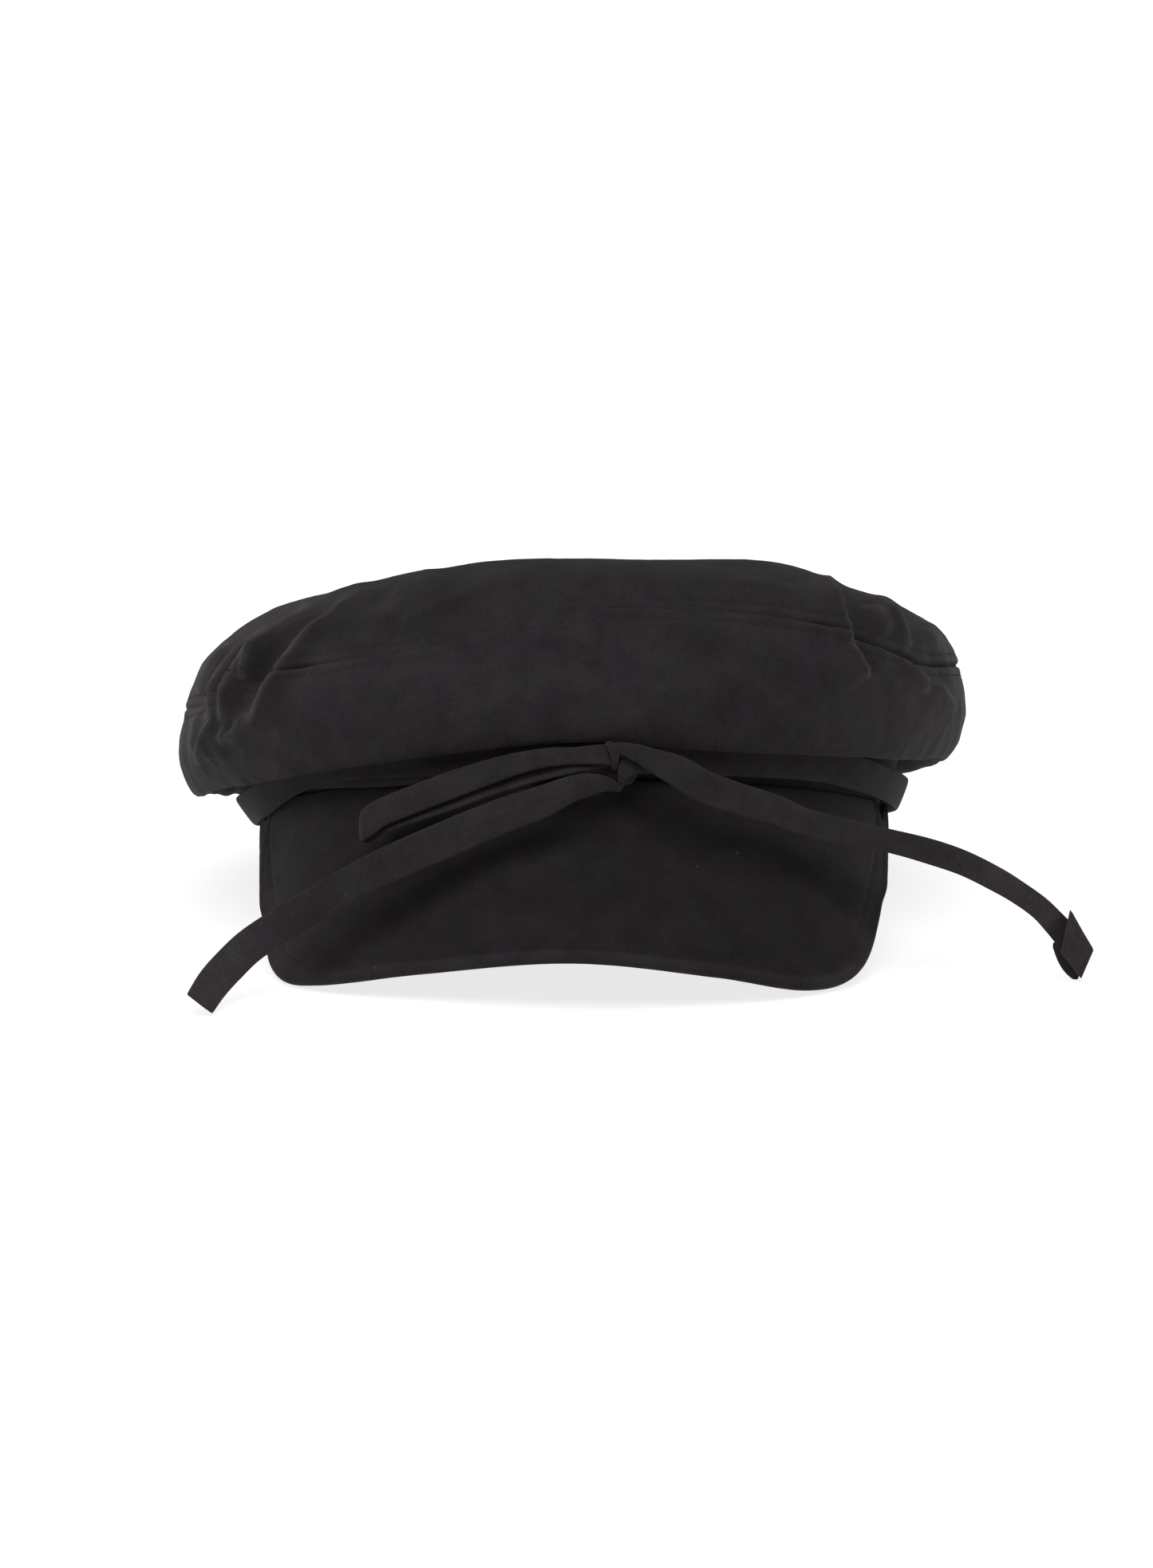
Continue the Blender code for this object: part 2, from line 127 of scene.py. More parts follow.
def round_head(angles, out, z):
    """Points round the head: degrees from the front, and reach outside the band."""
    turn = np.radians(angles)
    scale = 1 + np.asarray(out) / BAND_MEAN_HALF
    x = BAND_HALF_WIDTH * scale * np.sin(turn)
    y = -BAND_HALF_LENGTH * scale * np.cos(turn)
    return np.stack(np.broadcast_arrays(x, y, z), axis=-1).astype(float)


def fade(low, high, at):
    """0 at low, 1 at high, smooth between."""
    t = np.clip((at - low) / (high - low), 0.0, 1.0)
    return t * t * (3 - 2 * t)


def curve(knots, values, at):
    """The smooth curve through the rows of a table, read at many places."""
    knots, values, at = (np.asarray(item, float) for item in (knots, values, at))
    index = np.arange(len(knots))
    before, after = np.maximum(index - 1, 0), np.minimum(index + 1, len(knots) - 1)
    slopes = (values[after] - values[before]) / (knots[after] - knots[before])[:, None]
    low = np.clip(np.searchsorted(knots, at, side="right") - 1, 0, len(knots) - 2)
    step = (knots[low + 1] - knots[low])[:, None]
    t = ((at - knots[low]) / step[:, 0])[:, None]
    return (values[low] * (2 * t**3 - 3 * t**2 + 1) + slopes[low] * step * (t**3 - 2 * t**2 + t)
            + values[low + 1] * (3 * t**2 - 2 * t**3) + slopes[low + 1] * step * (t**3 - t**2))


def named(kind, table):
    """The rows of a table with named columns."""
    return [kind(*row) for row in table]


def distances(points):
    """How far along a run of points each one is."""
    return np.concatenate([[0.0], np.cumsum(np.linalg.norm(np.diff(points, axis=0), axis=1))])


def unit(vectors):
    """The same directions, one long."""
    return vectors / np.maximum(np.linalg.norm(vectors, axis=-1)[..., None], 1e-9)


print("the front is lifted", round(LIFT, 2), "mm")

# %% [markdown]
# ## Laying cloth on a grid
# Cloth is flat before it is sewn, so every piece starts as a flat grid, and its points are then laid
# where the cloth goes. Edges that meet are welded. The map of the flat cloth is kept as UVs in
# metres, so the weave keeps its true size and runs with the cloth.

# %% The grid that becomes cloth
WELD = 0.01  # points of a piece that lie closer than this become one


def lay_cloth(points, flat_map, wear_and_painted_light=None):
    """A grid laid at points[i, j]. flat_map is its place in the flat cloth, wear_and_painted_light how rubbed
    it is and how much painted light and shade it carries.
    """
    across, along = points.shape[0] - 1, points.shape[1] - 1
    places = (points * MM).tolist()
    flat = (flat_map * MM).tolist()
    cloth = bmesh.new()
    cloth_map = cloth.loops.layers.uv.new("cloth")
    wear_and_light_layer = cloth.verts.layers.float.new("wear_and_painted_light")
    bmesh.ops.create_grid(cloth, x_segments=across, y_segments=along, size=0.5)
    cells = {vert: (round((vert.co.x + 0.5) * across), round((vert.co.y + 0.5) * along))
             for vert in cloth.verts}
    for face in cloth.faces:
        for loop in face.loops:
            i, j = cells[loop.vert]
            loop[cloth_map].uv = flat[i][j]
    for vert, (i, j) in cells.items():
        vert.co = places[i][j]
        vert[wear_and_light_layer] = 0.0 if wear_and_painted_light is None else float(wear_and_painted_light[i, j])
    bmesh.ops.remove_doubles(cloth, verts=cloth.verts, dist=WELD * MM)
    return cloth


def finish_piece(name, cloth, material, slot, *nodes):
    """Turns laid cloth into a named piece that stands for its solids."""
    mesh = bpy.data.meshes.new(name)
    cloth.to_mesh(mesh)
    cloth.free()
    mesh.shade_smooth()
    mesh.materials.append(material)
    piece = in_scene(name, mesh)
    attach(piece, "root")
    if nodes:
        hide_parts(*nodes)
    print(f"{name}: {len(mesh.polygons)} faces")
    return piece


def give_wall(piece, thickness):
    """Gives a single sheet its thickness, inwards."""
    wall = piece.modifiers.new("wall", "SOLIDIFY")
    wall.thickness = thickness * MM
    wall.offset = -1.0
    wall.use_quality_normals = True


def gathered(*cloths):
    """Several laid cloths as one."""
    whole = cloths[0]
    for cloth in cloths[1:]:
        part = bpy.data.meshes.new("part")
        cloth.to_mesh(part)
        cloth.free()
        whole.from_mesh(part)
        bpy.data.meshes.remove(part)
    return whole


# %% [markdown]
# ## Wiring a finish
# A finish is a chain of nodes. `Wiring` makes them: an output is linked to a socket, and a number or
# a colour is typed into it, so a whole chain reads like a sum.

# %% Wiring of a material
class Wiring:
    """A new material and its nodes."""

    def __init__(self, name, finish):
        self.material = bpy.data.materials.new(name)
        self.material.use_nodes = True
        self.tree = self.material.node_tree
        self.shader = self.tree.nodes["Principled BSDF"]
        self.feed(self.shader, finish)

    def feed(self, node, inputs):
        for key, value in inputs.items():
            if isinstance(value, bpy.types.NodeSocket):
                self.tree.links.new(value, node.inputs[key])
            else:
                node.inputs[key].default_value = value

    def node(self, kind, inputs, **settings):
        """The outputs of a new node."""
        made = self.tree.nodes.new(kind)
        for key, value in settings.items():
            setattr(made, key, value)
        self.feed(made, inputs)
        return made.outputs

    def math(self, operation, *values, clamp=False):
        return self.node("ShaderNodeMath", dict(enumerate(values)), operation=operation, use_clamp=clamp)[0]

    def weighed(self, total, *parts):
        """total, and every part times its weight."""
        for part, weight in parts:
            total = self.math("MULTIPLY_ADD", part, weight, total)
        return total

    def stretched(self, place, stretch):
        return self.node("ShaderNodeMapping", {"Vector": place, "Scale": stretch})["Vector"]

    def noise(self, place, scale, detail=2.0):
        return self.node("ShaderNodeTexNoise", {"Vector": place, "Scale": scale, "Detail": detail})["Fac"]

    def blend(self, factor, first, second, kind="MIX"):
        return self.node("ShaderNodeMix", {"Factor": factor, "A": first, "B": second},
                         data_type="RGBA", blend_type=kind)["Result"]


print("wiring for finishes is ready")

# %% [markdown]
# ## Black cotton
# Washed black cotton is a very dark, slightly violet grey. It is matt, with a faint bloom where one
# looks along its fuzz, and never even: single threads are thicker (slubs), the dye is cloudy, and
# lint sticks to it. A plain weave is a chequer of bumps, so two sine waves multiplied make it.

# %% The cloth material
Lint = namedtuple("Lint", "scale share size strength stretch colour")
LINT = (
    Lint(110.0, 0.14, 0.07, 0.24, (1.0, 1.0, 0.55), (0.11, 0.105, 0.11, 1.0)),
    Lint(240.0, 0.10, 0.10, 0.24, (0.6, 1.0, 1.0), (0.11, 0.11, 0.12, 1.0)),
)
# how far each part of the finish stands up, and changes the tone
Part = namedtuple("Part", "relief tone")
WEAVE, SLUBS, CLOUDS = Part(0.35, 0.08), Part(2.4, 0.51), Part(0.0, 0.44)
MOTTLE, FUZZ = Part(3.0, 0.95), Part(0.9, 0.8)
SLUB_GRAINS = (((90.0, 1500.0, 1.0), 0.6), ((1500.0, 70.0, 1.0), 0.4))  # stretch and share of each
WANDER = 3.0  # how far the threads stray from straight lines
BUMP_STRENGTH, BUMP_DEPTH = 0.55, 0.12
WEAR_AND_LIGHT_GAIN = 0.6  # how much lighter fully worn cloth is, and cloth with full painted light
PATCH_CONTRAST, PATCH_START = 3.2, -1.25
FADED = (0.92, 0.88, 0.88)  # a faded patch has lost its violet


def specks(net, body, kind):
    """Scattered lint: a share of the cells of a honeycomb hold a speck each."""
    cells = net.node("ShaderNodeTexVoronoi", {"Vector": net.stretched(body, kind.stretch),
                                              "Scale": kind.scale}, feature="F1")
    pick = net.node("ShaderNodeSeparateColor", {"Color": cells["Color"]})
    reach = net.math("MULTIPLY_ADD", pick[1], kind.size, 0.02)
    near = net.math("MULTIPLY_ADD", net.math("DIVIDE", cells["Distance"], reach), -1.6, 1.6, clamp=True)
    chosen = net.math("GREATER_THAN", pick[0], 1.0 - kind.share)
    return net.math("MULTIPLY", net.math("MULTIPLY", near, chosen), kind.strength)


def black_cotton(name, colour, bloom=0.06, thread=0.36):
    """A matt black plain weave; thread is the width of one thread."""
    net = Wiring(name, {"Roughness": 0.92, "Specular IOR Level": 0.10,
                        "Sheen Weight": bloom, "Sheen Roughness": 0.45})
    flat = net.node("ShaderNodeUVMap", {}, uv_map="cloth")["UV"]
    body = net.node("ShaderNodeTexCoord", {})["Object"]
    wear_and_painted_light = net.node("ShaderNodeAttribute", {}, attribute_name="wear_and_painted_light")["Fac"]

    place = net.node("ShaderNodeSeparateXYZ", {"Vector": flat})
    stray = net.math("MULTIPLY", net.noise(flat, 400.0, 1.0), WANDER)
    warp, weft = (net.math("SINE", net.math("MULTIPLY_ADD", place[axis], math.pi / (thread * MM), stray))
                  for axis in "XY")
    weave = net.math("MULTIPLY", warp, weft)
    slubs = net.weighed(0.0, *((net.noise(net.stretched(flat, grain), 1.0, 3.0), share)
                               for grain, share in SLUB_GRAINS))
    clouds = net.noise(body, 38.0, 4.0)
    mottle = net.noise(body, 120.0, 3.0)
    fuzz = net.noise(body, 1300.0)

    height = net.weighed(0.0, (weave, WEAVE.relief), (slubs, SLUBS.relief),
                         (fuzz, FUZZ.relief), (mottle, MOTTLE.relief))
    bump = net.node("ShaderNodeBump", {"Strength": BUMP_STRENGTH, "Distance": BUMP_DEPTH * MM,
                                       "Height": height})
    tones = ((clouds, CLOUDS.tone), (slubs, SLUBS.tone), (mottle, MOTTLE.tone), (fuzz, FUZZ.tone))
    even = 1.0 - 0.5 * sum(share for _, share in tones)  # each noise is 0.5 on average
    tone = net.weighed(even, *tones, (weave, WEAVE.tone))
    # the tone follows the wear and the painted light and shade laid on the cloth
    tone = net.math("MULTIPLY", tone, net.math("MULTIPLY_ADD", wear_and_painted_light, WEAR_AND_LIGHT_GAIN, 1.0))
    patches = net.math("MULTIPLY_ADD", net.noise(body, 85.0, 3.0), PATCH_CONTRAST, PATCH_START,
                       clamp=True)
    faded = [colour[0] * left for left in FADED]
    dyed = net.blend(1.0, net.blend(patches, (*colour, 1.0), (*faded, 1.0)), tone, "MULTIPLY")
    for kind in LINT:
        dyed = net.blend(specks(net, body, kind), dyed, kind.colour)
    net.feed(net.shader, {"Base Color": dyed, "Normal": bump["Normal"]})
    print("cloth material", name)
    return net.material


CROWN_COTTON = black_cotton("crown_cotton", (0.0164, 0.0124, 0.0154))
# the peak's cloth is the crown's cotton painted darker, at about two thirds of its colour, as painted shade
PEAK_COTTON_SHADED = black_cotton("peak_cotton_shaded", (0.0104, 0.0078, 0.0097), bloom=0.05)
BAND_COTTON = black_cotton("band_cotton", (0.0120, 0.0096, 0.0114))
TIE_COTTON = black_cotton("tie_cotton", (0.0164, 0.0126, 0.0154), thread=0.32)

# %% [markdown]
# ## Stitching
# A groove alone looks drawn on, so a row of stitches is a run of small stretched spheres of few
# faces, laid in a shallow dip.

# %% Thread, and a row of stitches
twine = Wiring("black_thread", {"Roughness": 0.8, "Specular IOR Level": 0.15})
twist = twine.noise(twine.node("ShaderNodeTexCoord", {})["Object"], 2500.0)
THREAD_DARK, THREAD_LIGHT = (0.009, 0.0075, 0.009, 1), (0.019, 0.016, 0.019, 1)
twine.feed(twine.shader, {"Base Color": twine.blend(twist, THREAD_DARK, THREAD_LIGHT)})
THREAD = twine.material

STITCH_LENGTH, STITCH_WIDTH, STITCH_EVERY = 1.9, 0.36, 2.8


def sew(name, line, slot):
    """Lays stitches along a line of points of the resting cap."""
    lengths = distances(line)
    middles = np.arange(STITCH_EVERY / 2, lengths[-1] - 1, STITCH_EVERY)
    stitches = bmesh.new()
    for middle in middles:
        place, behind, ahead = (
            np.array([np.interp(middle + step, lengths, line[:, axis]) for axis in range(3)])
            for step in (0, -1, 1))
        turn = Vector(ahead - behind).to_track_quat("X", "Z").to_matrix().to_4x4()
        shape = Matrix.Diagonal((STITCH_LENGTH / 2 * MM, STITCH_WIDTH / 2 * MM, STITCH_WIDTH / 2 * MM, 1))
        bmesh.ops.create_uvsphere(stitches, u_segments=6, v_segments=4, radius=1.0,
                                  matrix=Matrix.Translation(Vector(place * MM)) @ turn @ shape)
    finish_piece(name, stitches, THREAD, slot)
    print(f"{name}: {len(middles)} stitches")


# %% [markdown]
# ## Tape
# The tie is a narrow tube of cloth, pressed flat. Each stop along it says where its middle is, which
# way its face looks and how wide it lies, and `ribbon` sweeps a soft flat oval along the stops. A
# cut end closes in a thin tuck, straight across or on a slant.

# %% Ribbons of flat tape
TAPE_WIDTH = 9.6
TAPE_THICKNESS = 1.5
SECTION_POINTS = 26
FLAT_ACROSS, FLAT_UP = 0.55, 0.8  # powers that square the section's oval
TUCK_LENGTH, TUCK_WIDTH = 0.8, 0.94  # a cut end narrows to this share of its width
EDGE_WEAR = 0.3


def squared(values, power):
    """Sines and cosines of an oval, pushed out towards a box."""
    return np.sign(values) * np.abs(values) ** power


def ribbon(centres, face_ways, widths, thickness=TAPE_THICKNESS, closed=False, slant=0.0, rubbed_and_painted_light=0.0):
    """A flat tube of cloth along centres; closed joins its end to its start."""
    if closed:
        along = unit(np.roll(centres, -1, axis=0) - np.roll(centres, 1, axis=0))
    else:
        along = unit(np.gradient(centres, axis=0))
    width_ways = unit(np.cross(along, face_ways))
    faces = np.cross(width_ways, along)
    turn = np.linspace(0, 2 * np.pi, SECTION_POINTS + 1)
    across, up = squared(np.cos(turn), FLAT_ACROSS), -squared(np.sin(turn), FLAT_UP)
    lengths = distances(centres)
    slant, rubbed_and_painted_light = (np.broadcast_to(value, len(centres)) for value in (slant, rubbed_and_painted_light))
    thick = np.full(len(centres), float(thickness))
    if not closed:
        from_end = np.minimum(lengths, lengths[-1] - lengths)
        tuck = np.sqrt(np.clip(from_end / TUCK_LENGTH, 0, 1))
        thick *= tuck
        widths = widths * (TUCK_WIDTH + (1 - TUCK_WIDTH) * tuck)
    to_edge = (widths / 2)[:, None] * width_ways + (slant / 2)[:, None] * along
    to_face = (thick / 2)[:, None] * faces
    points = centres + across[:, None, None] * to_edge + up[:, None, None] * to_face
    if closed:
        points = np.concatenate([points, points[:, :1]], axis=1)
        lengths = np.append(lengths, lengths[-1] + np.linalg.norm(centres[0] - centres[-1]))
    round_tube = np.linspace(0, 2 * TAPE_WIDTH, SECTION_POINTS + 1)
    flat = np.stack(np.meshgrid(round_tube, lengths, indexing="ij"), axis=-1)
    # the edges are worn lighter, and the wear and painted light and shade given along the tape are added
    wear_and_painted_light = EDGE_WEAR * np.abs(across[:, None]) ** 8 + np.append(rubbed_and_painted_light, rubbed_and_painted_light[0])[None, :len(lengths)]
    return lay_cloth(points, flat, wear_and_painted_light)


Stop = namedtuple("Stop", "x y z nx ny nz width")


def along_stops(stops, spacing=0.8):
    """Evenly spaced middles, face directions and widths along a table of stops."""
    table = np.array(stops, float)
    knots = distances(table[:, :3])
    places = np.linspace(0, knots[-1], int(knots[-1] / spacing))
    table[:, 3:6] = unit(table[:, 3:6])
    laid = curve(knots, table, places)
    return laid[:, :3], laid[:, 3:6], laid[:, 6]


print("tape of", TAPE_WIDTH, "by", TAPE_THICKNESS, "mm")

# %% [markdown]
# ## The two free ends
# Each free end leaves the knot, crosses the peak and comes down to the table beside it, the right
# one in a longer arc with its last bit turned over to the front. Their stops are typed for the
# resting cap.

# %% Where the free ends lie
TAIL_LEFT = named(Stop, (
    (13.2, -98.6, 56.8, 0.1, -1, 0, 2),
    (11, -100.4, 57.9, 0.1, -1, 0.2, 2.8),
    (7.9, -101.6, 59, 0.1, -1, 0.3, 4.6),
    (3.3, -103.7, 59, 0, -1, 0.4, 6.6),
    (-1.7, -106, 58.1, 0, -1, 0.45, 7.5),
    (-8.1, -107.3, 55.4, 0, -1, 0.4, 8.8),
    (-19.9, -107.8, 51.2, 0, -1, 0.4, 9.8),
    (-36, -108, 44.4, 0, -1, 0.4, 10.2),
    (-53, -108, 36.8, 0, -1, 0.45, 10),
    (-66, -107.4, 29.6, 0, -1, 0.5, 9.6),
    (-78, -107.3, 22.2, 0.1, -1, 0.4, 9.6),
    (-89.1, -109.8, 15.3, 0.3, -0.8, 0.35, 9.6),
    (-95.6, -115.5, 10.1, 0.4, -0.6, 0.5, 9.6),
    (-99.3, -122.3, 7, 0.5, -0.45, 0.6, 9.4),
    (-102.4, -131, 3.6, 0.53, -0.44, 0.72, 8.8),
))
TAIL_RIGHT = named(Stop, (
    (9.8, -98.6, 68.7, 0, -1, 0.3, 2.4),
    (12.6, -99.9, 68.7, 0, -1, 0.3, 3.2),
    (15.4, -101.4, 68.2, 0, -1, 0.3, 4.2),
    (17.8, -102.4, 67.6, 0, -1, 0.3, 5),
    (20.9, -103.2, 66.3, 0, -1, 0.3, 6),
    (24.2, -103.8, 64.9, 0, -1, 0.3, 7.4),
    (28.4, -104.3, 63.1, 0.1, -1, 0.3, 8.5),
    (35.6, -104.6, 58.9, 0.1, -1, 0.4, 9),
    (44.9, -101.6, 54.9, 0.2, -1, 0.5, 9),
    (55.5, -95.6, 50.5, 0.2, -1, 0.7, 9),
    (64.5, -90.6, 45.7, 0.2, -1, 0.9, 9),
    (78, -85.6, 41.4, 0.2, -1, 1.2, 9),
    (88.6, -82.1, 38.4, 0.2, -1, 1.4, 9),
    (99.7, -80.6, 35.1, 0.2, -1, 1.2, 9),
    (109, -80.6, 31.8, 0.3, -1, 1, 8.4),
    (118.3, -81.4, 27.2, 0.3, -1, 0.8, 7.8),
    (124.1, -82.9, 23.9, 0.4, -1, 0.6, 7.2),
    (129.9, -84.8, 20, 0.4, -1, 0.3, 6.8),
    (133.8, -86.2, 16.2, 0.5, -1, 0, 7),
    (137.3, -87.9, 12.3, 0.6, -1, -0.2, 7.4),
))
FOLDED_FLAP = named(Stop, (
    (136.8, -88.8, 14.4, 0.15, -1, 0.15, 9.2),
    (139.9, -89.8, 9.8, 0.25, -1, 0.2, 8.4),
    (143, -90.6, 5.2, 0.2, -1, 0.1, 7.6),
))
CURLED_EDGE = named(Stop, (
    (134.1, -87.8, 11, -0.8, -1, 0.1, 1.6),
    (134.7, -88.2, 9.6, -0.7, -1, 0, 2.8),
    (136.9, -89.2, 5, -0.6, -1, 0, 3.2),
    (139.6, -90, 2, -0.5, -1, -0.1, 2.8),
    (140.6, -90.4, 1.8, -0.5, -1, -0.2, 1.6),
))
print(len(TAIL_LEFT), "stops left,", len(TAIL_RIGHT), "right")

# %% [markdown]
# ## Laying a free end
# Both ends get painted light in their last few centimetres, where they come down near the glowing
# table. The folded bit and the curled edge beside it are short ribbons of their own, with painted
# shade on the tape just before the fold, painted light on the flap and painted shade on the curled edge.

# %% Free ends of the tie
TAPE_SLANT, FLAP_SLANT = 4.7, (8.3, 4.5)
FLAP_THICKNESS, FLAP_SPACING = 1.2, 0.5
# how much painted light the last few centimetres of each end get
END_LIGHT = 1.1


def free_end(name, stops, node, folded=False):
    centres, faces, widths = along_stops(stops)
    to_end = distances(centres)[-1] - distances(centres)
    # painted light on the last few centimetres, near the table
    painted_end_light = END_LIGHT * fade(45, 20, to_end)
    if folded:
        flap_centres, flap_faces, flap_widths = along_stops(FOLDED_FLAP, FLAP_SPACING)
        # painted shade on the tape before the fold, painted light on the flap and painted shade on the curled
        # edge
        tape = gathered(
            ribbon(centres, faces, widths, slant=TAPE_SLANT * fade(8, 0, to_end),
                   rubbed_and_painted_light=0.7 * painted_end_light - 1.4 * fade(7, 4, to_end)),
            ribbon(flap_centres, flap_faces, flap_widths, thickness=FLAP_THICKNESS,
                   slant=np.linspace(*FLAP_SLANT, len(flap_centres)), rubbed_and_painted_light=0.7),
            ribbon(*along_stops(CURLED_EDGE, FLAP_SPACING), thickness=FLAP_THICKNESS, rubbed_and_painted_light=-0.5))
        centres = np.concatenate([centres, flap_centres])
    else:
        tape = ribbon(centres, faces, widths, rubbed_and_painted_light=painted_end_light)
    piece = finish_piece(name, tape, TIE_COTTON, "tie_cloth", node)


free_end("tail_left_tape", TAIL_LEFT, "tail_left")
free_end("tail_right_tape", TAIL_RIGHT, "tail_right", folded=True)

# %% [markdown]
# ## The crown's shape
# The crown is a side panel that rolls out over the band and back up to a seam, and a top panel
# inside that seam. A table gives five places of its profile at each of twelve angles, and smooth
# curves join them both ways.

# %% Crown table
Crown = namedtuple("Crown", "angle roll_out roll_z belly_out belly_z seam_out seam_z "
                            "shoulder_out shoulder_z crest_out crest_z")
CROWN_TABLE = named(Crown, (
    (-180, 13, 12.5, 20, 24, 13, 39, 4, 49, -28, 57),
    (-135, 14, 14.5, 23, 23, 17, 36, 8, 47, -24, 58),
    (-90, 21.5, 5, 27, 15, 25.5, 30, 18.5, 46.3, -6, 60.5),
    (-65, 17, 3.6, 25.5, 16, 23, 28.5, 14, 45.5, -10, 60.2),
    (-45, 14, 4.8, 20, 18, 16, 32.5, 8, 48.5, -17, 62.4),
    (-22, 11, 7.6, 16, 21, 12, 38.5, 4, 53.5, -22, 65),
    (0, 10, 10.4, 15, 24, 10, 47, 2, 58, -22, 66),
    (24, 11, 8.8, 16, 24, 11, 48, 4, 58, -20, 66.3),
    (45, 13, 9.5, 19, 24, 15, 44.5, 9, 56, -13, 66.4),
    (66, 15.5, 11.4, 23, 25, 21, 39, 14, 53, -7, 62.8),
    (90, 20, 16, 26, 27, 24.5, 43, 17.5, 53.5, -5, 62.2),
    (135, 15, 14.5, 23, 26, 18, 40, 9, 52, -20, 60),
))
CROWN_CENTRE_Z = 63.0
PLATEAU_OUT, PLATEAU_TILT = -55.0, 1.8
ROLL, SEAM, CREST = 3, 5, 7  # where they are among the profile's ten points


def read_round(rows, angles):
    """The columns of a table whose rows go round the head, read at many angles."""
    table = np.array(rows, float)
    whole_turn = np.zeros((2, table.shape[1]))
    whole_turn[:, 0] = 360
    table = np.concatenate([table[-2:] - whole_turn, table, table[:2] + whole_turn])
    return curve(table[:, 0], table[:, 1:], angles).T


def crown_profiles(angles):
    """Ten points of reach and height at each angle, from the band's top to the crown's centre."""
    (roll_out, roll_z, belly_out, belly_z, seam_out, seam_z,
     shoulder_out, shoulder_z, crest_out, crest_z) = read_round(CROWN_TABLE, angles)
    same = np.ones_like(angles, dtype=float)
    places = (
        (-CLOTH * same, (BAND_HEIGHT + 0.6) * same), (1.0 * same, (BAND_HEIGHT + 0.3) * same),
        (0.5 * roll_out + 1.5, roll_z + 0.52 * (BAND_HEIGHT - roll_z)), (roll_out, roll_z),
        (belly_out, belly_z), (seam_out, seam_z), (shoulder_out, shoulder_z), (crest_out, crest_z),
        (PLATEAU_OUT * same, CROWN_CENTRE_Z + PLATEAU_TILT * np.cos(np.radians(angles))),
        (-BAND_MEAN_HALF * same, CROWN_CENTRE_Z * same))
    return np.stack([np.stack(place, axis=-1) for place in places], axis=1)


def crown_surface(angles, rows_of):
    """Points of the crown. rows_of gives the rows' distances along a profile from its knots."""
    points, runs = [], []
    for angle, profile in zip(angles, crown_profiles(angles)):
        knots = distances(profile)
        rows = rows_of(knots)
        reach_height = curve(knots, profile, rows)
        points.append(round_head(angle, reach_height[:, 0], reach_height[:, 1]))
        runs.append(rows - knots[SEAM])
    return np.array(points), np.array(runs)


print(len(CROWN_TABLE), "crown profiles")

# %% [markdown]
# ## Folds
# The crown is too full for its band, so the cloth creases, most of all where it turns to the sides.
# On one side of a crease the cloth swells up slowly, on the other it drops sharply. Each crease is a
# line drawn on the front view, with its own reach on both sides.

# %% Crease table
Crease = namedtuple("Crease", "x0 h0 x1 h1 x2 h2 x3 h3 height left right")
CREASES = named(Crease, (
    (-64.5, 66, -78.4, 47.7, -84, 39.5, -95.5, 23.5, 4.6, 1.4, 20),
    (-73.5, 58.5, -80.5, 49.5, -85, 43, -88, 38, 0.8, 1.2, 2),
    (-86, 50, -88.4, 44.5, -90.2, 40, -92.5, 35, 2.6, 1.5, 2.6),
    (-76, 65.5, -83.8, 56.4, -94.7, 41.6, -105.5, 24, 5.4, 1.1, 6),
    (-90, 58, -97.5, 46.5, -103.6, 36.3, -108.8, 25, 5, 1.1, 5.5),
    (-99, 51, -103, 45, -106.5, 39, -109.5, 33, 2.4, 1, 4),
    (-107, 30, -108.5, 25, -109.2, 20, -109.3, 15, 1.6, 1.5, 2.5),
    (-103, 28, -106.2, 21, -108, 15, -108.5, 11, 2.4, 1.4, 5),
    (-99, 26.5, -100, 20.5, -97, 21.5, -91.5, 28.5, 1.8, 1.6, 1.6),
    (-56.5, 65, -61, 62.6, -65, 59.5, -69.5, 54.5, 1.3, 2, 5),
    (-36, 68, -44, 65.8, -49, 64, -54, 61.5, 1.5, 3, 6),
    (-34, 61.5, -42, 58, -47.2, 55, -50.8, 51, 1.2, 3, 5),
    (72.5, 72, 76.2, 61, 78.2, 54.5, 82, 45.5, 4.2, 12, 1.2),
    (82.3, 60.6, 86.8, 57, 88.4, 53, 90.4, 49.5, 2.4, 3, 4),
    (87.5, 62.5, 92.5, 55.2, 94.4, 52, 97.5, 45.5, 3.2, 4.5, 1.2),
    (98.5, 53.5, 100.5, 51.5, 102.5, 49, 104, 46.5, 1.6, 3, 2),
    (79.5, 49.5, 80.8, 45.7, 83.1, 41.6, 86.5, 38, 3.6, 9, 1.2),
    (94, 43.5, 97.6, 40.3, 99.9, 37.6, 101.5, 32.5, 2.6, 3.5, 1.2),
    (103, 37.5, 105, 34.5, 107, 31, 108.5, 27, 1.4, 2.5, 1.2),
    (40, 67, 50, 66, 58, 64, 66, 60, 0.7, 4, 4),
))
print(len(CREASES), "creases")

# %% [markdown]
# ## Raising the creases
# The lines are drawn as the camera sees them, so each point of the cloth is looked up on the front
# view. Its distance from the line, and its side, say how far it is raised. The edge of a crease is
# painted lighter, partly as wear and partly as a painted highlight, and the cloth on its right-hand
# side gets painted shade.

# %% How a crease raises the cloth
CREASE_EDGE = 0.45  # how round the edge of a crease is
STEEP = 1.7  # a side that reaches less far than this is steep
TUCKED = 0.55  # how deep the cloth is tucked in beside a steep side
FULL_CREASE = 4.5  # a crease as high as this gets its full wear, painted highlight and painted shade
# painted shade beside a crease: how dark, how far out it is darkest, and how wide
SHADE, SHADE_FROM, SHADE_WIDTH = 0.6, 2.8, 3.2
VIEW_RIGHT, VIEW_UP = 0.6, 7.6  # the middle of the view, on the front view


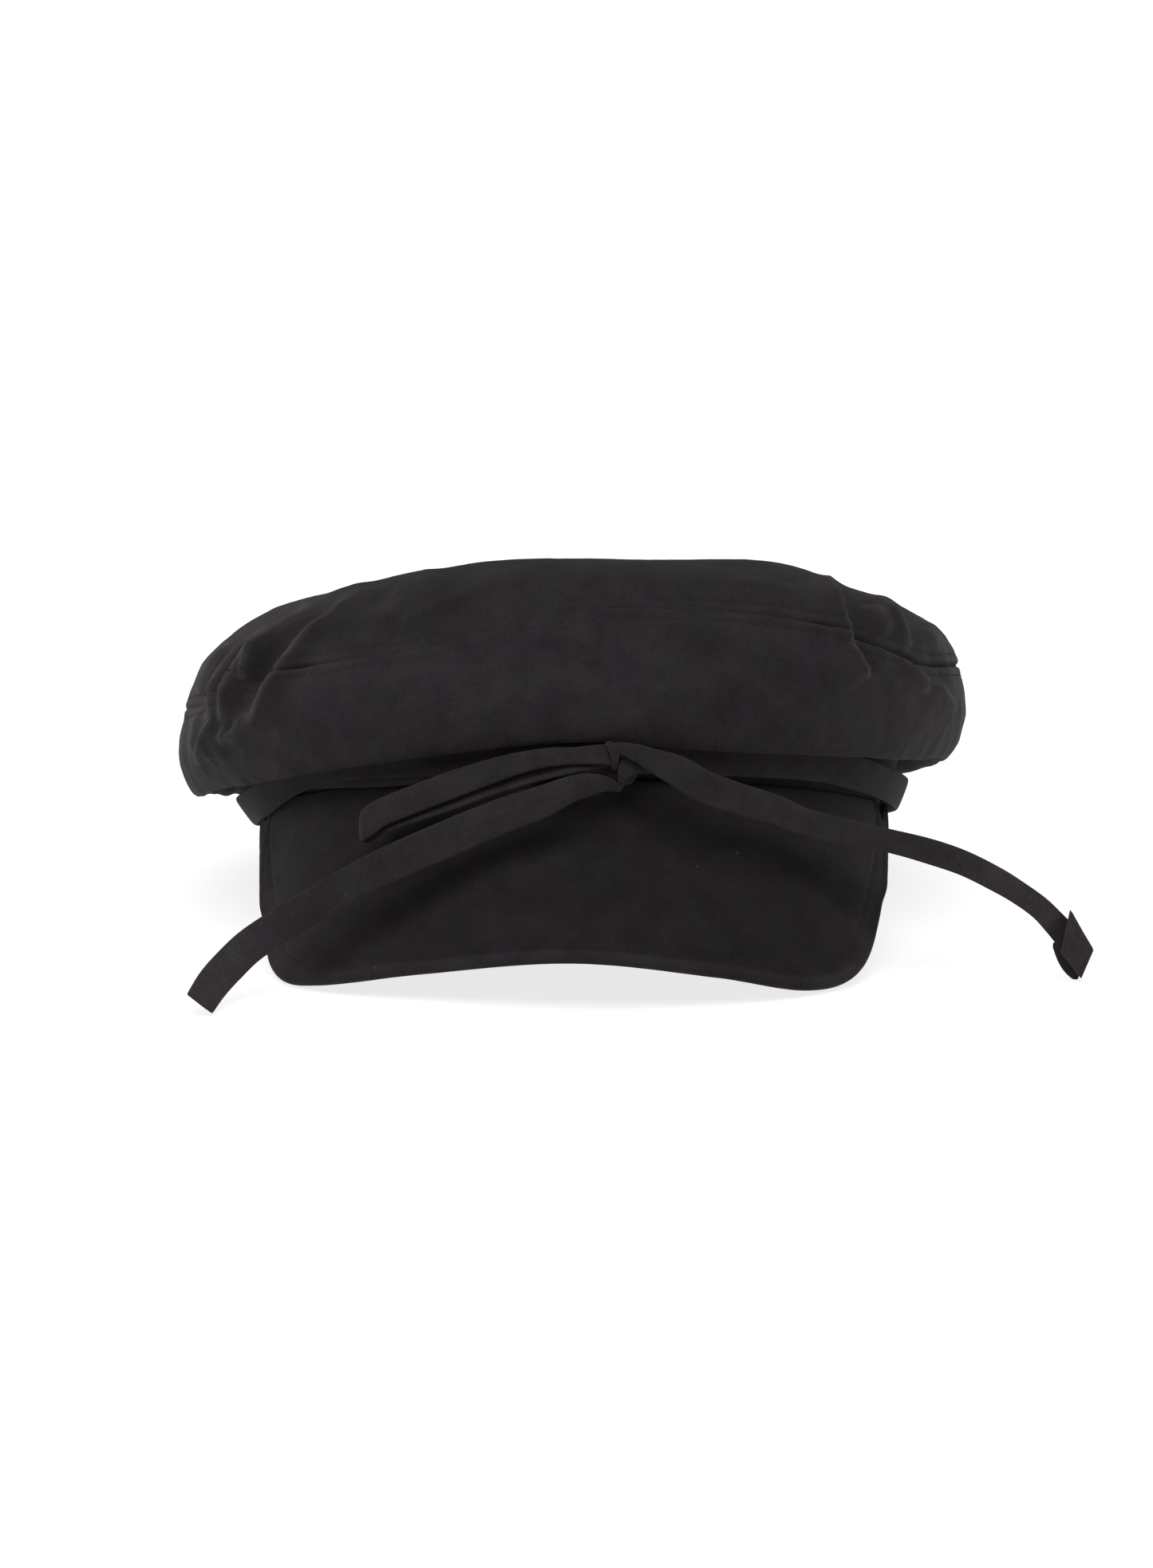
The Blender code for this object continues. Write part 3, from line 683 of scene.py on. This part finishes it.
def front_view(points):
    """Where points of the level cap show on the front view: millimetres right, and up from the band."""
    up = np.array((0, math.sin(VIEW_HEIGHT), math.cos(VIEW_HEIGHT)))
    seen = in_place(points) - np.array(camera.location) / MM
    distance = VIEW_DISTANCE / MM
    far = seen @ np.array(looking)
    return np.stack([VIEW_RIGHT + seen[..., 0] / far * distance,
                     VIEW_UP + seen @ up / far * distance], axis=-1)


def creased(points, normals):
    """How far the creases raise the cloth at each point, and how much it is rubbed there, with painted
    highlight and painted shade.
    """
    total, rubbed_and_painted_light = np.zeros(points.shape[:-1]), np.zeros(points.shape[:-1])
    for crease in CREASES:
        here = front_view(points + normals * crease.height)
        line = np.array(crease[:8]).reshape(4, 2)
        lengths = distances(line)
        away = np.full(total.shape, 1e9)
        along, side = np.zeros_like(total), np.ones_like(total)
        for index in range(3):
            run = line[index + 1] - line[index]
            offset = here - line[index]
            t = np.clip(offset @ run / (run @ run), 0, 1)
            gap = np.linalg.norm(offset - t[..., None] * run, axis=-1)
            closer = gap < away
            away = np.where(closer, gap, away)
            along = np.where(closer, (lengths[index] + t * np.linalg.norm(run)) / lengths[-1], along)
            side = np.where(closer, run[0] * offset[..., 1] - run[1] * offset[..., 0], side)
        reach = np.where(side < 0, crease.left, crease.right)
        steep = reach < STEEP
        past = (np.sqrt(away**2 + CREASE_EDGE**2) - CREASE_EDGE) / reach
        drop = np.exp(-past) - TUCKED * steep * (np.exp(-past / 4) - np.exp(-past))
        ends = fade(0, 0.34, along) * fade(1, 0.7, along)
        total += crease.height * ends * drop
        # the edge is lighter, partly wear and partly painted highlight; the right-hand side gets painted
        # shade
        beside = np.where(steep, away - 0.4, 1.6 * away)
        shade = SHADE * (side >= 0) * np.exp(-((away - SHADE_FROM) / SHADE_WIDTH) ** 2)
        rubbed_and_painted_light += (min(1.0, crease.height / FULL_CREASE) * fade(0, 0.1, along) * fade(1, 0.9, along)
                   * (np.exp(-(beside / 1.2) ** 2) - shade))
    return np.stack([total, rubbed_and_painted_light])


print("creases up to", max(crease.height for crease in CREASES), "mm high")

# %% [markdown]
# ## Swellings, gathers and the seam
# Between its creases the cloth swells, gathers towards the roll, hangs in soft waves on top and
# puckers along the seam. Smooth noise gives each of these. The seam is a groove with stitches in a
# dip on both sides. It is pulled tighter in some places than in others, so its depths are a table.

# %% Swellings and the seam
Swelling = namedtuple("Swelling", "height size seed")
SWELL, SMALL_SWELL, FINE = Swelling(0.9, 42, 1.0), Swelling(0.4, 17, 5.0), Swelling(0.07, 3.0, 21.0)
PUCKER, DRAPE = Swelling(0.45, 6.5, 9.0), Swelling(1.3, 28, 70.0)
CRUMPLE, GATHER = Swelling(0.7, 11, 33.0), Swelling(2.6, 17, 60.0)
SEAM_CHANGE, SEAM_RUB, TOP_RUB = Swelling(0.8, 9, 14.0), Swelling(1.0, 8, 40.0), Swelling(0.5, 15, 90.0)
Sewn = namedtuple("Sewn", "angle seam stitching")
SEWN = named(Sewn, (
    (-180, 0.8, 0.15), (-110, 0.8, 0.15), (-95, 0.45, 0.12), (-60, 0.45, 0.10),
    (-52, 0.35, 0.10), (-50, 1, 0.15), (-41, 0.9, 0.18), (-38, 0.25, 0.10),
    (-20, 0.15, 0.06), (0, 0.12, 0.06), (18, 0.2, 0.10), (22, 0.25, 0.26),
    (30, 0.35, 0.28), (41, 0.7, 0.28), (50, 1.1, 0.22), (90, 1.1, 0.18), (180, 0.8, 0.15),
))
STITCH_AWAY = 3.14  # from the seam to the rows of stitches
# the darkest the painted shade may make the cloth
DARKEST_PAINTED_SHADE = -0.5


def cloudy(points, size, seed):
    """Smooth random swelling, about -1 to 1, of one size in millimetres."""
    shift = Vector((seed, 2.3 * seed, -1.7 * seed))
    flat = points.reshape(-1, 3)
    values = [noise.noise(Vector(point) / size + shift) for point in flat.tolist()]
    return np.array(values).reshape(points.shape[:-1])


def swelling(points, kind):
    return kind.height * cloudy(points, kind.size, kind.seed)


def ridges(points, kind, level):
    """Narrow ridges between hollows, made by folding the noise at zero."""
    return kind.height * (level - np.abs(cloudy(points, kind.size, kind.seed)))


def bell(away, width):
    return np.exp(-(away / width) ** 2)


def normals_of(points):
    """Outward normals of a grid that closes on itself round the head."""
    wrapped = np.concatenate([points[-2:-1], points, points[1:2]])
    return unit(np.cross(wrapped[2:] - wrapped[:-2], np.gradient(points, axis=1)))


def sewn_at(angles, column):
    """A column of the table of the seam, at each angle."""
    return np.interp(angles, [row.angle for row in SEWN], [getattr(row, column) for row in SEWN])[:, None]


def worn_and_painted_cloth(points, runs, angles):
    """Moves the crown's cloth where it is creased, puckered or sewn, and gives its wear and its painted light
    and shade.
    """
    normals = normals_of(points)
    x, y = points[..., 0], points[..., 1]
    seam_depth, stitch_depth = sewn_at(angles, "seam"), sewn_at(angles, "stitching")
    turn = np.radians(angles)[:, None] + 0 * runs
    fan = np.stack([100 * np.sin(turn), -100 * np.cos(turn), 0.25 * runs], axis=-1)

    folds, rubbed_and_painted_light = creased(points, normals) * fade(12, -26, y) * fade(-34, -16, runs)
    sewn = (swelling(points, PUCKER) * bell(runs, 7.0) * np.clip(2 * seam_depth, 0.3, 1)
            - seam_depth * (1 + swelling(points, SEAM_CHANGE)) * bell(runs, 0.7)
            - stitch_depth * (bell(runs - STITCH_AWAY, 0.6) + bell(runs + STITCH_AWAY, 0.6)))
    loose = (ridges(points, CRUMPLE, 0.35) * fade(70, 84, np.abs(x))
             + ridges(fan, GATHER, 0.3) * fade(60, 100, np.abs(turn * 57.3))
             * fade(-44, -26, runs) * fade(-1, -12, runs)
             + swelling(points, DRAPE) * fade(-30, 20, y) * fade(0, 14, runs))
    smooth = swelling(points, SWELL) + swelling(points, SMALL_SWELL) + swelling(points, FINE)
    move = folds + fade(-38, -24, runs) * (smooth + loose + sewn)

    # painted highlights and painted shade of the creases, with their wear, made stronger at both sides
    wear_and_painted_light = 0.9 * rubbed_and_painted_light * (1 + 1.5 * fade(-62, -78, x) + 0.9 * fade(60, 74, x))
    wear_and_painted_light += (0.35 * bell(np.abs(runs) - 1.3, 0.6) * (0.6 + swelling(points, SEAM_RUB))
             * np.clip(seam_depth, 0.2, 1))
    # painted light on the left side, from a little below the seam upwards, and on the far right side
    wear_and_painted_light += 0.95 * fade(-60, -80, x) * fade(-14, 0, runs) + 0.35 * fade(88, 100, x)
    # random tone over the top panel, and painted shade on the front of the top
    wear_and_painted_light += ((swelling(points, TOP_RUB) - 0.35 * fade(74, 60, np.abs(x)))
             * fade(3, 14, runs) * fade(10, -30, y))
    return points + normals * move[..., None], np.maximum(wear_and_painted_light, DARKEST_PAINTED_SHADE)


print("seam up to", max(row.seam for row in SEWN), "mm deep")

# %% [markdown]
# ## Side and top of the crown
# Both panels are grids round the head, and both are sewn along the same seam. Columns are closest
# at the creases, and rows at the seam.

# %% Crown panels
CROWN_COLUMNS = ((-180, -118, 28), (-118, -38, 225), (-38, 38, 120), (38, 108, 215), (108, 180, 34))
SEAM_ROWS = np.concatenate([np.linspace(0, 1.8, 7), np.linspace(2.3, 4.4, 6)])


def side_rows(knots):
    """Rows from the neck out round the roll and up to the seam."""
    neck = np.linspace(0, knots[ROLL], 12, endpoint=False)
    wall = np.linspace(knots[ROLL], knots[SEAM] - SEAM_ROWS[-1], 46, endpoint=False)
    return np.concatenate([neck, wall, knots[SEAM] - SEAM_ROWS[::-1]])


def top_rows(knots):
    """Rows from the seam over the crest to the centre."""
    slope = np.linspace(knots[SEAM] + SEAM_ROWS[-1], knots[CREST], 34)[1:]
    plateau = np.linspace(knots[CREST], knots[-1], 16)[1:]
    return np.concatenate([knots[SEAM] + SEAM_ROWS, slope, plateau])


def crown_cloth(rows_of):
    """The points of a panel, how far its rows are from the seam, and its wear and painted light and shade."""
    points, runs = crown_surface(crown_angles, rows_of)
    points, wear_and_painted_light = worn_and_painted_cloth(points, runs, crown_angles)
    return points, runs, wear_and_painted_light


crown_angles = np.concatenate([np.linspace(start, end, count, endpoint=False)
                               for start, end, count in CROWN_COLUMNS] + [[180.0]])
turn = np.radians(crown_angles)[:, None]
side_points, side_runs, side_wear_and_light = crown_cloth(side_rows)
side_map = np.stack([turn * (BAND_MEAN_HALF + 20) + 0 * side_runs, side_runs], axis=-1)
top_points, top_runs, top_wear_and_light = crown_cloth(top_rows)
top_points[:, -1] = (0, 0, CROWN_CENTRE_Z)
from_centre = top_runs[:, -1:] - top_runs
top_map = np.stack([from_centre * np.sin(turn), -from_centre * np.cos(turn)], axis=-1)

for part, points, flat, wear_and_painted_light in (("side", side_points, side_map, side_wear_and_light),
                                 ("top", top_points, top_map, top_wear_and_light)):
    panel = finish_piece(f"crown_{part}_panel", lay_cloth(in_place(points), flat, wear_and_painted_light),
                         CROWN_COTTON, f"crown_{part}_cloth", f"crown_{part}")
    give_wall(panel, CLOTH)

STITCH_ROW = 9  # the grid row where the stitching dips
sew("stitches_below_seam", in_place(side_points[:, -1 - STITCH_ROW]), "crown_side_cloth")
sew("stitches_above_seam", in_place(top_points[:, STITCH_ROW]), "crown_top_cloth")

# %% [markdown]
# ## Head band
# A double strip of the same cloth. Most of it is hidden by the tie, but its inside shows when the
# cap is turned over, so it gets its two rows of stitching too.

# %% Head band
BAND_COLUMNS = 240
BAND_STITCHING = (3, 28)  # heights of its two rows


def pressed_flat(points):
    """Keeps points of the level cap on the table or above it."""
    resting = in_place(points)
    resting[..., 2] = np.maximum(resting[..., 2], 0.0)
    return resting


band_turn = np.linspace(-180, 180, BAND_COLUMNS + 1)
edge = 0.5 * CLOTH
foot = 0.4  # how far the rim's rounding reaches up
rounding = np.linspace(0, math.pi, 7)[1:-1]
outside_run = [(0.0, foot + (BAND_HEIGHT - edge - foot) * t) for t in np.linspace(0, 1, 25)]
round_top = [(-edge + edge * math.cos(a), BAND_HEIGHT - edge + edge * math.sin(a)) for a in rounding]
round_foot = [(-edge - edge * math.cos(a), foot - foot * math.sin(a)) for a in rounding]
inside_run = [(-CLOTH, z) for _, z in reversed(outside_run)]
band_section = np.array(outside_run + round_top + inside_run + round_foot + outside_run[:1])
band_height = band_section[:, 1]
stitch_dip = 0.15 * sum(bell(band_height - row, 0.7) for row in BAND_STITCHING)
band_out = band_section[:, 0] + np.where(band_section[:, 0] < -1, stitch_dip, -stitch_dip)
band_points = np.array([round_head(angle, band_out, band_height) for angle in band_turn])
band_map = np.stack(np.meshgrid(np.radians(band_turn) * BAND_MEAN_HALF, distances(band_section),
                                indexing="ij"), axis=-1)
finish_piece("head_band_strip", lay_cloth(pressed_flat(band_points), band_map),
             BAND_COTTON, "band_cloth", "head_band")

# %% [markdown]
# ## Turns of the tie round the band
# The tie goes round three times. Each turn is a ribbon given by its lower edge: how far it stands off
# the band, how high it lies and how far it leans out. The outermost hangs loose on the left.

# %% Turns of the tie
Turn = namedtuple("Turn", "angle foot_out foot_z lean")
TIE_TURNS = {
    1: named(Turn, (
        (-180, 1.1, 12, 12), (-135, 1.1, 11, 12), (-90, 1.1, 9.5, 16), (-60, 1.1, 10.5, 14),
        (-30, 1.1, 12.5, 12), (0, 1.1, 12.3, 12), (30, 1.1, 11.6, 12), (60, 1.1, 11, 12),
        (90, 1.1, 11, 12), (135, 1.1, 12, 12))),
    2: named(Turn, (
        (-180, 2.9, 9.4, 14), (-135, 2.9, 7, 14), (-90, 2.9, 3.4, 20), (-60, 2.9, 2.4, 20),
        (-30, 2.9, 0.6, 14), (0, 2.9, 5.4, 12), (30, 2.9, 8, 12), (60, 2.9, 9, 12),
        (90, 2.9, 8.5, 14), (135, 2.9, 9, 14))),
    3: named(Turn, (
        (-180, 4.7, 6.4, 14), (-135, 4.7, 3.5, 18), (-92, 3.9, -3.2, 36), (-72, 3.9, -3.6, 34),
        (-60, 4.4, 0, 24), (-47, 4.7, 3, 18), (-25, 4.7, 2.4, 14), (0, 4.7, 2.4, 14),
        (25, 4.7, 2.6, 14), (47, 4.7, 3, 16), (62, 4.7, 1.6, 18), (80, 4.7, 0.4, 22),
        (100, 4.7, 1.6, 20), (135, 4.7, 4.6, 16))),
}
TURN_COLUMNS = 560
UP = np.array([0, 0, 1.0])
WAVER = Swelling(0.12, 14, 30.0)

for number, turns in TIE_TURNS.items():
    angles = np.linspace(-180, 180, TURN_COLUMNS, endpoint=False)
    foot_out, foot_z, lean = read_round(turns, angles)
    outward = unit(round_head(angles, 1, 0) - round_head(angles, 0, 0))
    lean = np.radians(lean)[:, None]
    up_way = UP * np.cos(lean) + outward * np.sin(lean)
    face_way = outward * np.cos(lean) - UP * np.sin(lean)
    foot_line = round_head(angles, foot_out, foot_z)
    waver = swelling(foot_line, WAVER._replace(seed=WAVER.seed + number))[:, None]
    centres = foot_line + up_way * TAPE_WIDTH / 2 + face_way * waver
    strip = ribbon(in_place(centres), leaned(face_way), np.full(TURN_COLUMNS, TAPE_WIDTH), closed=True)
    finish_piece(f"tie_turn_{number}", strip, TIE_COTTON, "tie_cloth", f"tie_wrap_{number}")

# %% [markdown]
# ## The peak's outline
# The peak is a stiff core covered with the same cloth, so it is thicker and smoother than the crown.
# Its edge is typed as seen from the front, with its depth, and it bows out a little on its way there.

# %% Outline of the peak
Edge = namedtuple("Edge", "angle x y h")
PEAK_EDGE = named(Edge, (
    (-80, -88.2, -17.3, 2.7), (-78, -88.4, -42, -14.5), (-74, -88.5, -66, -30),
    (-64, -84, -85, -44.6), (-53, -72, -99, -46.8), (-31, -44, -112.5, -43.8),
    (0, 0, -127, -40.2), (28, 40, -118, -44.4), (48, 66, -103, -48.3),
    (62, 80.5, -88, -43), (74, 87.5, -64, -25), (78, 88.2, -41, -12), (80, 88.2, -17.3, 2.7),
))
PEAK_THICKNESS, SEWN_THICKNESS = 3.0, 0.55  # the peak, and where it is sewn to the band
PEAK_BOW = 1.5
PEAK_COLUMNS, PEAK_ROWS = 300, 90

peak_knots = [edge.angle for edge in PEAK_EDGE]
peak_rim = np.array([(edge.x, edge.y, edge.h + VIEW_SLOPE * edge.y) for edge in PEAK_EDGE])
many = np.linspace(-80, 80, 3001)
rim_run = distances(curve(peak_knots, peak_rim, many))
peak_angles = np.interp(np.linspace(0, rim_run[-1], PEAK_COLUMNS + 1), rim_run, many)
roots = round_head(peak_angles, 0.55, 1.2)
rim = curve(peak_knots, peak_rim, peak_angles)
rim[0], rim[-1] = roots[0], roots[-1]
outward = unit(roots * (1, 1, 0))
t = np.linspace(0, 1, PEAK_ROWS + 1)
print("the peak's edge is", round(rim_run[-1]), "mm long")


def peak_sheet(tips):
    """The peak's upper side, from its roots at the band to its tips."""
    return (roots[:, None] * (1 - t)[None, :, None] + tips[:, None] * t[None, :, None]
            + outward[:, None] * PEAK_BOW * np.sin(np.pi * t)[None, :, None])


def steady(vectors, margin=10):
    """Takes the last few directions from their neighbours, where the peak runs to a point."""
    vectors = vectors.copy()
    vectors[:margin], vectors[-margin:] = vectors[margin], vectors[-margin - 1]
    return vectors


# %% [markdown]
# ## The peak's cloth
# One grid goes over the peak, round its edge and back under it. A row of stitches runs inside the
# edge. The front edge turns out a little and gets a painted highlight, and the cloth gets painted
# light at the sides, along the side edges and in the lower left corner, where the left end's shadow falls.

# %% Cloth of the peak
STITCH_INSET = 6.5
LIP_WIDTH, LIP_HEIGHT = 3.6, 0.9
# swellings of the peak, and the noise along the painted highlight of its front edge
PEAK_SWELL, PEAK_FINE, RIM_HIGHLIGHT = Swelling(0.3, 35, 3.0), Swelling(0.05, 3, 7.0), Swelling(0.3, 12, 50.0)
EDGE_ROWS = 9

sheet = peak_sheet(rim)
sheet_normals = steady(-unit(np.cross(np.gradient(sheet, axis=0), np.gradient(sheet, axis=1))))
rim_ways = np.cross(sheet_normals[:, -1], unit(np.gradient(rim, axis=0)))
rim_ways = unit(rim_ways) * np.sign((rim_ways * (rim - roots)).sum(axis=1))[len(rim) // 2]
reach = np.linalg.norm(rim - roots, axis=1)
half = np.minimum(PEAK_THICKNESS / 2, 0.2 * reach)
sheet = peak_sheet(rim - rim_ways * half[:, None])
inset = np.stack([np.sqrt(((row[:, None] - rim[None]) ** 2).sum(axis=-1).min(axis=1))
                  for row in np.moveaxis(sheet, 1, 0)], axis=1)
front_edge = fade(-80, -62, sheet[..., 0]) * fade(88, 78, sheet[..., 0]) * fade(-70, -92, sheet[..., 1])
lip = LIP_HEIGHT * np.clip((LIP_WIDTH - inset) / LIP_WIDTH, 0, 1) * front_edge
stitch_line = -0.2 * bell(inset - STITCH_INSET, 0.7)
relief = lip + stitch_line + swelling(sheet, PEAK_SWELL) + swelling(sheet, PEAK_FINE)
sheet = sheet + sheet_normals * relief[..., None]
thickness = SEWN_THICKNESS + (PEAK_THICKNESS - SEWN_THICKNESS) * fade(0.3, -3.5, sheet[..., 2])
thickness = thickness * np.minimum(1, 0.4 * reach / PEAK_THICKNESS)[:, None]
below = sheet - sheet_normals * thickness[..., None]
rounding = np.linspace(np.pi / 2, -np.pi / 2, EDGE_ROWS + 2)[1:-1, None]
middle = 0.5 * (sheet[:, -1] + below[:, -1])[:, None]
radius = 0.5 * thickness[:, -1:, None]
edge_round = (middle + rim_ways[:, None] * radius * np.cos(rounding)
              + sheet_normals[:, -1:] * radius * np.sin(rounding))
peak_points = np.concatenate([sheet, edge_round, below[:, ::-3], sheet[:, :1]], axis=1)
peak_points[0], peak_points[-1] = peak_points[0, 0], peak_points[-1, 0]
peak_map = np.stack([peak_points[..., 0], [distances(column) for column in peak_points]], axis=-1)

# painted light: a highlight along the front edge, lighter sides and side edges, and the lower left corner
# lightened where the left end's shadow falls
peak_painted_light = np.zeros(peak_points.shape[:2])
peak_painted_light[:, :PEAK_ROWS + 1] = (
    fade(4.0, 3.2, inset) * front_edge * (0.8 + swelling(sheet, RIM_HIGHLIGHT))
    + 0.5 * fade(60, 88, np.abs(sheet[..., 0])) + 0.4 * fade(16, 0, inset) * (1 - front_edge)
    + 0.55 * fade(-36, -66, sheet[..., 0]) * fade(-20, -38, sheet[..., 2]))
peak_painted_light[:, PEAK_ROWS + 1:PEAK_ROWS + 6] = peak_painted_light[:, PEAK_ROWS:PEAK_ROWS + 1]
cover = lay_cloth(*(grid[:, ::-1] for grid in (in_place(peak_points), peak_map, peak_painted_light)))
finish_piece("peak_cover", cover, PEAK_COTTON_SHADED, "peak_cloth", "peak")

sewn_columns = range(12, PEAK_COLUMNS - 11)
stitch_run = np.array([[np.interp(-STITCH_INSET, -inset[column], sheet[column, :, axis]) for axis in range(3)]
                       for column in sewn_columns if inset[column, 20] > STITCH_INSET])
sew("stitches_on_peak", in_place(stitch_run), "peak_cloth")

# %% [markdown]
# ## Bow loop
# The half bow has one loop. The tape runs out along the front, folds flat and comes back behind
# itself, a little lower, so a sliver of the back strand shows.

# %% Bow loop
BOW_LOOP = named(Stop, (
    (10.6, -112.4, 6.9, 0, -1, 0.3, 6.2),
    (5.6, -112.9, 6.8, 0, -1, 0.4, 5.8),
    (-0.2, -112.3, 6.5, 0, -1, 0.45, 5.4),
    (-6.6, -113, 6.1, 0, -1, 0.45, 5.8),
    (-14.3, -112.7, 4.7, -0.1, -1, 0.45, 6.6),
    (-22, -111.6, 2.6, -0.1, -1, 0.45, 7.6),
    (-35.2, -108, -1.7, -0.2, -1, 0.45, 8.8),
    (-47, -103.4, -5.8, -0.3, -1, 0.45, 9),
    (-54.4, -100.2, -8.7, -0.4, -1, 0.4, 8.9),
    (-57.7, -98.9, -11.2, -0.8, -1, 0.2, 8.6),
    (-59, -97.3, -12.2, -1, -0.1, 0, 8.4),
    (-57.8, -96, -12.2, -0.5, 1, -0.2, 8.4),
    (-51, -99.4, -10, 0.3, 1, -0.7, 8.4),
    (-35.3, -106, -5.4, 0.2, 1, -0.75, 8.2),
    (-22, -109.6, -1.1, 0.1, 1, -0.75, 7.6),
    (-6.6, -111.2, 2.8, 0, 1, -0.7, 6.2),
    (5.6, -110.9, 5, 0, 1, -0.5, 5),
    (10.6, -110.2, 6.2, 0, 1, -0.3, 4.4),
))
loop_centres, loop_faces, loop_widths = along_stops(BOW_LOOP, 0.6)
# painted light on the back strand, where the front strand shades it
loop = ribbon(in_place(loop_centres), leaned(loop_faces), loop_widths,
              rubbed_and_painted_light=0.5 * fade(0.55, 0.65, np.linspace(0, 1, len(loop_centres))))
finish_piece("bow_loop_tape", loop, TIE_COTTON, "tie_cloth", "bow_loop")

# %% [markdown]
# ## Knot
# The knot is the tape pulled tight over itself. Its heart is a small soft pillow. Over it go a
# hitch, which crosses the loop's strand, and a wider turn, tucked down behind the left end.

# %% Knot
HITCH = named(Stop, (
    (9.4, -111.4, 9.6, 0, -0.3, 1, 1.8),
    (9.7, -113.2, 9.8, 0, -0.8, 0.6, 2),
    (10.3, -114.3, 8.6, 0, -1, 0.3, 2.3),
    (11, -114.7, 6.9, 0, -1, 0, 2.3),
    (11.3, -114.3, 5.1, 0, -1, -0.4, 2.1),
    (11.2, -112.9, 3.6, 0, -0.7, -0.7, 1.8),
    (11, -111, 3, 0, -0.3, -1, 1.6),
))
TUCKED_TURN = named(Stop, (
    (20.6, -110.2, 7, 0.2, -1, 0.3, 7),
    (17.8, -112.4, 5.2, 0.2, -1, 0.3, 6.8),
    (15.4, -113.6, 3.6, 0.1, -1, 0.3, 6),
    (14, -113.6, 1.8, 0, -1, 0.1, 4.2),
    (13.3, -112.6, -0.2, 0, -1, -0.2, 2.6),
    (12.9, -110.6, -1.8, 0, -0.9, -0.5, 1.8),
))
HEART_CENTRE = np.array((13.2, -107.8, 4.2))
HEART_SIZE = np.array((9.0, 6.0, 10.5))


def knot_turn(stops):
    centres, faces, widths = along_stops(stops, 0.5)
    return ribbon(in_place(centres), leaned(faces), widths, thickness=1.3)


theta = np.linspace(0, 2 * np.pi, 97)
phi = np.linspace(-np.pi / 2, np.pi / 2, 61)
ball = np.stack([np.cos(phi)[None] * np.sin(theta)[:, None], -np.cos(phi)[None] * np.cos(theta)[:, None],
                 np.sin(phi)[None] + 0 * theta[:, None]], axis=-1)
ball = squared(ball, 0.8)
heart_points = HEART_CENTRE + ball * HEART_SIZE / 2
heart_points += ball * swelling(heart_points, Swelling(0.5, 3.2, 2.0))[..., None]
heart_points[-1] = heart_points[0]
for pole in (0, -1):
    heart_points[:, pole] = heart_points[:, pole].mean(axis=0)
heart_map = np.stack(np.meshgrid(theta * 6, phi * 6, indexing="ij"), axis=-1)
heart = lay_cloth(in_place(heart_points), heart_map)
finish_piece("tie_knot_cloth", gathered(heart, knot_turn(HITCH), knot_turn(TUCKED_TURN)),
             TIE_COTTON, "tie_cloth", "tie_knot")

# %% [markdown]
# ## Table, light and background
# Black cloth swallows light, so the table glows softly, as a photographer's light table does. Large
# soft lights come from above the front, from both sides and from the back.

# %% Table and lights
floor_builder = bmesh.new()
bmesh.ops.create_grid(floor_builder, x_segments=2, y_segments=2, size=14.0)
floor_mesh = bpy.data.meshes.new("table_top")
floor_builder.to_mesh(floor_mesh)
floor_builder.free()
floor = in_scene("table_top", floor_mesh)
paint = Wiring("table_white", {"Base Color": (0.28, 0.28, 0.28, 1), "Emission Color": (1, 1, 1, 1),
                               "Emission Strength": 0.8, "Roughness": 0.8}).material
floor_mesh.materials.append(paint)
floor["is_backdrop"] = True


def soft_light(name, from_front, height, softness, strength):
    """A large soft light far away: degrees round from the front, degrees up, and its spread."""
    lamp = bpy.data.lights.new(name, "SUN")
    lamp.angle = math.radians(softness)
    lamp.energy = strength
    turn, up = math.radians(from_front), math.radians(height)
    towards = Vector((math.sin(turn) * math.cos(up), -math.cos(turn) * math.cos(up), math.sin(up)))
    in_scene(name, lamp).rotation_euler = towards.to_track_quat("Z", "Y").to_euler()


soft_light("left_light", -70, 32, 24, 1.0)
soft_light("right_light", 70, 30, 40, 0.45)
soft_light("front_light", 0, 60, 50, 2.5)
soft_light("back_light", 180, 60, 50, 0.5)
world = bpy.data.worlds.new("studio")
world.use_nodes = True
glow = world.node_tree.nodes["Background"].inputs
glow["Color"].default_value = (1, 1, 1, 1)
glow["Strength"].default_value = 0.035
bpy.context.scene.world = world
bpy.context.scene.view_settings.view_transform = "Standard"

# %% [markdown]
# ## Sizes
# The dressed cap has to stay the size of its solids, so both boxes are written down.

# %% Sizes, and the end
dressed_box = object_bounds()
print("boxes in mm, solids and then dressed:")
for box in (cad_box, dressed_box):
    print([[round(c / MM, 1) for c in corner] for corner in box])
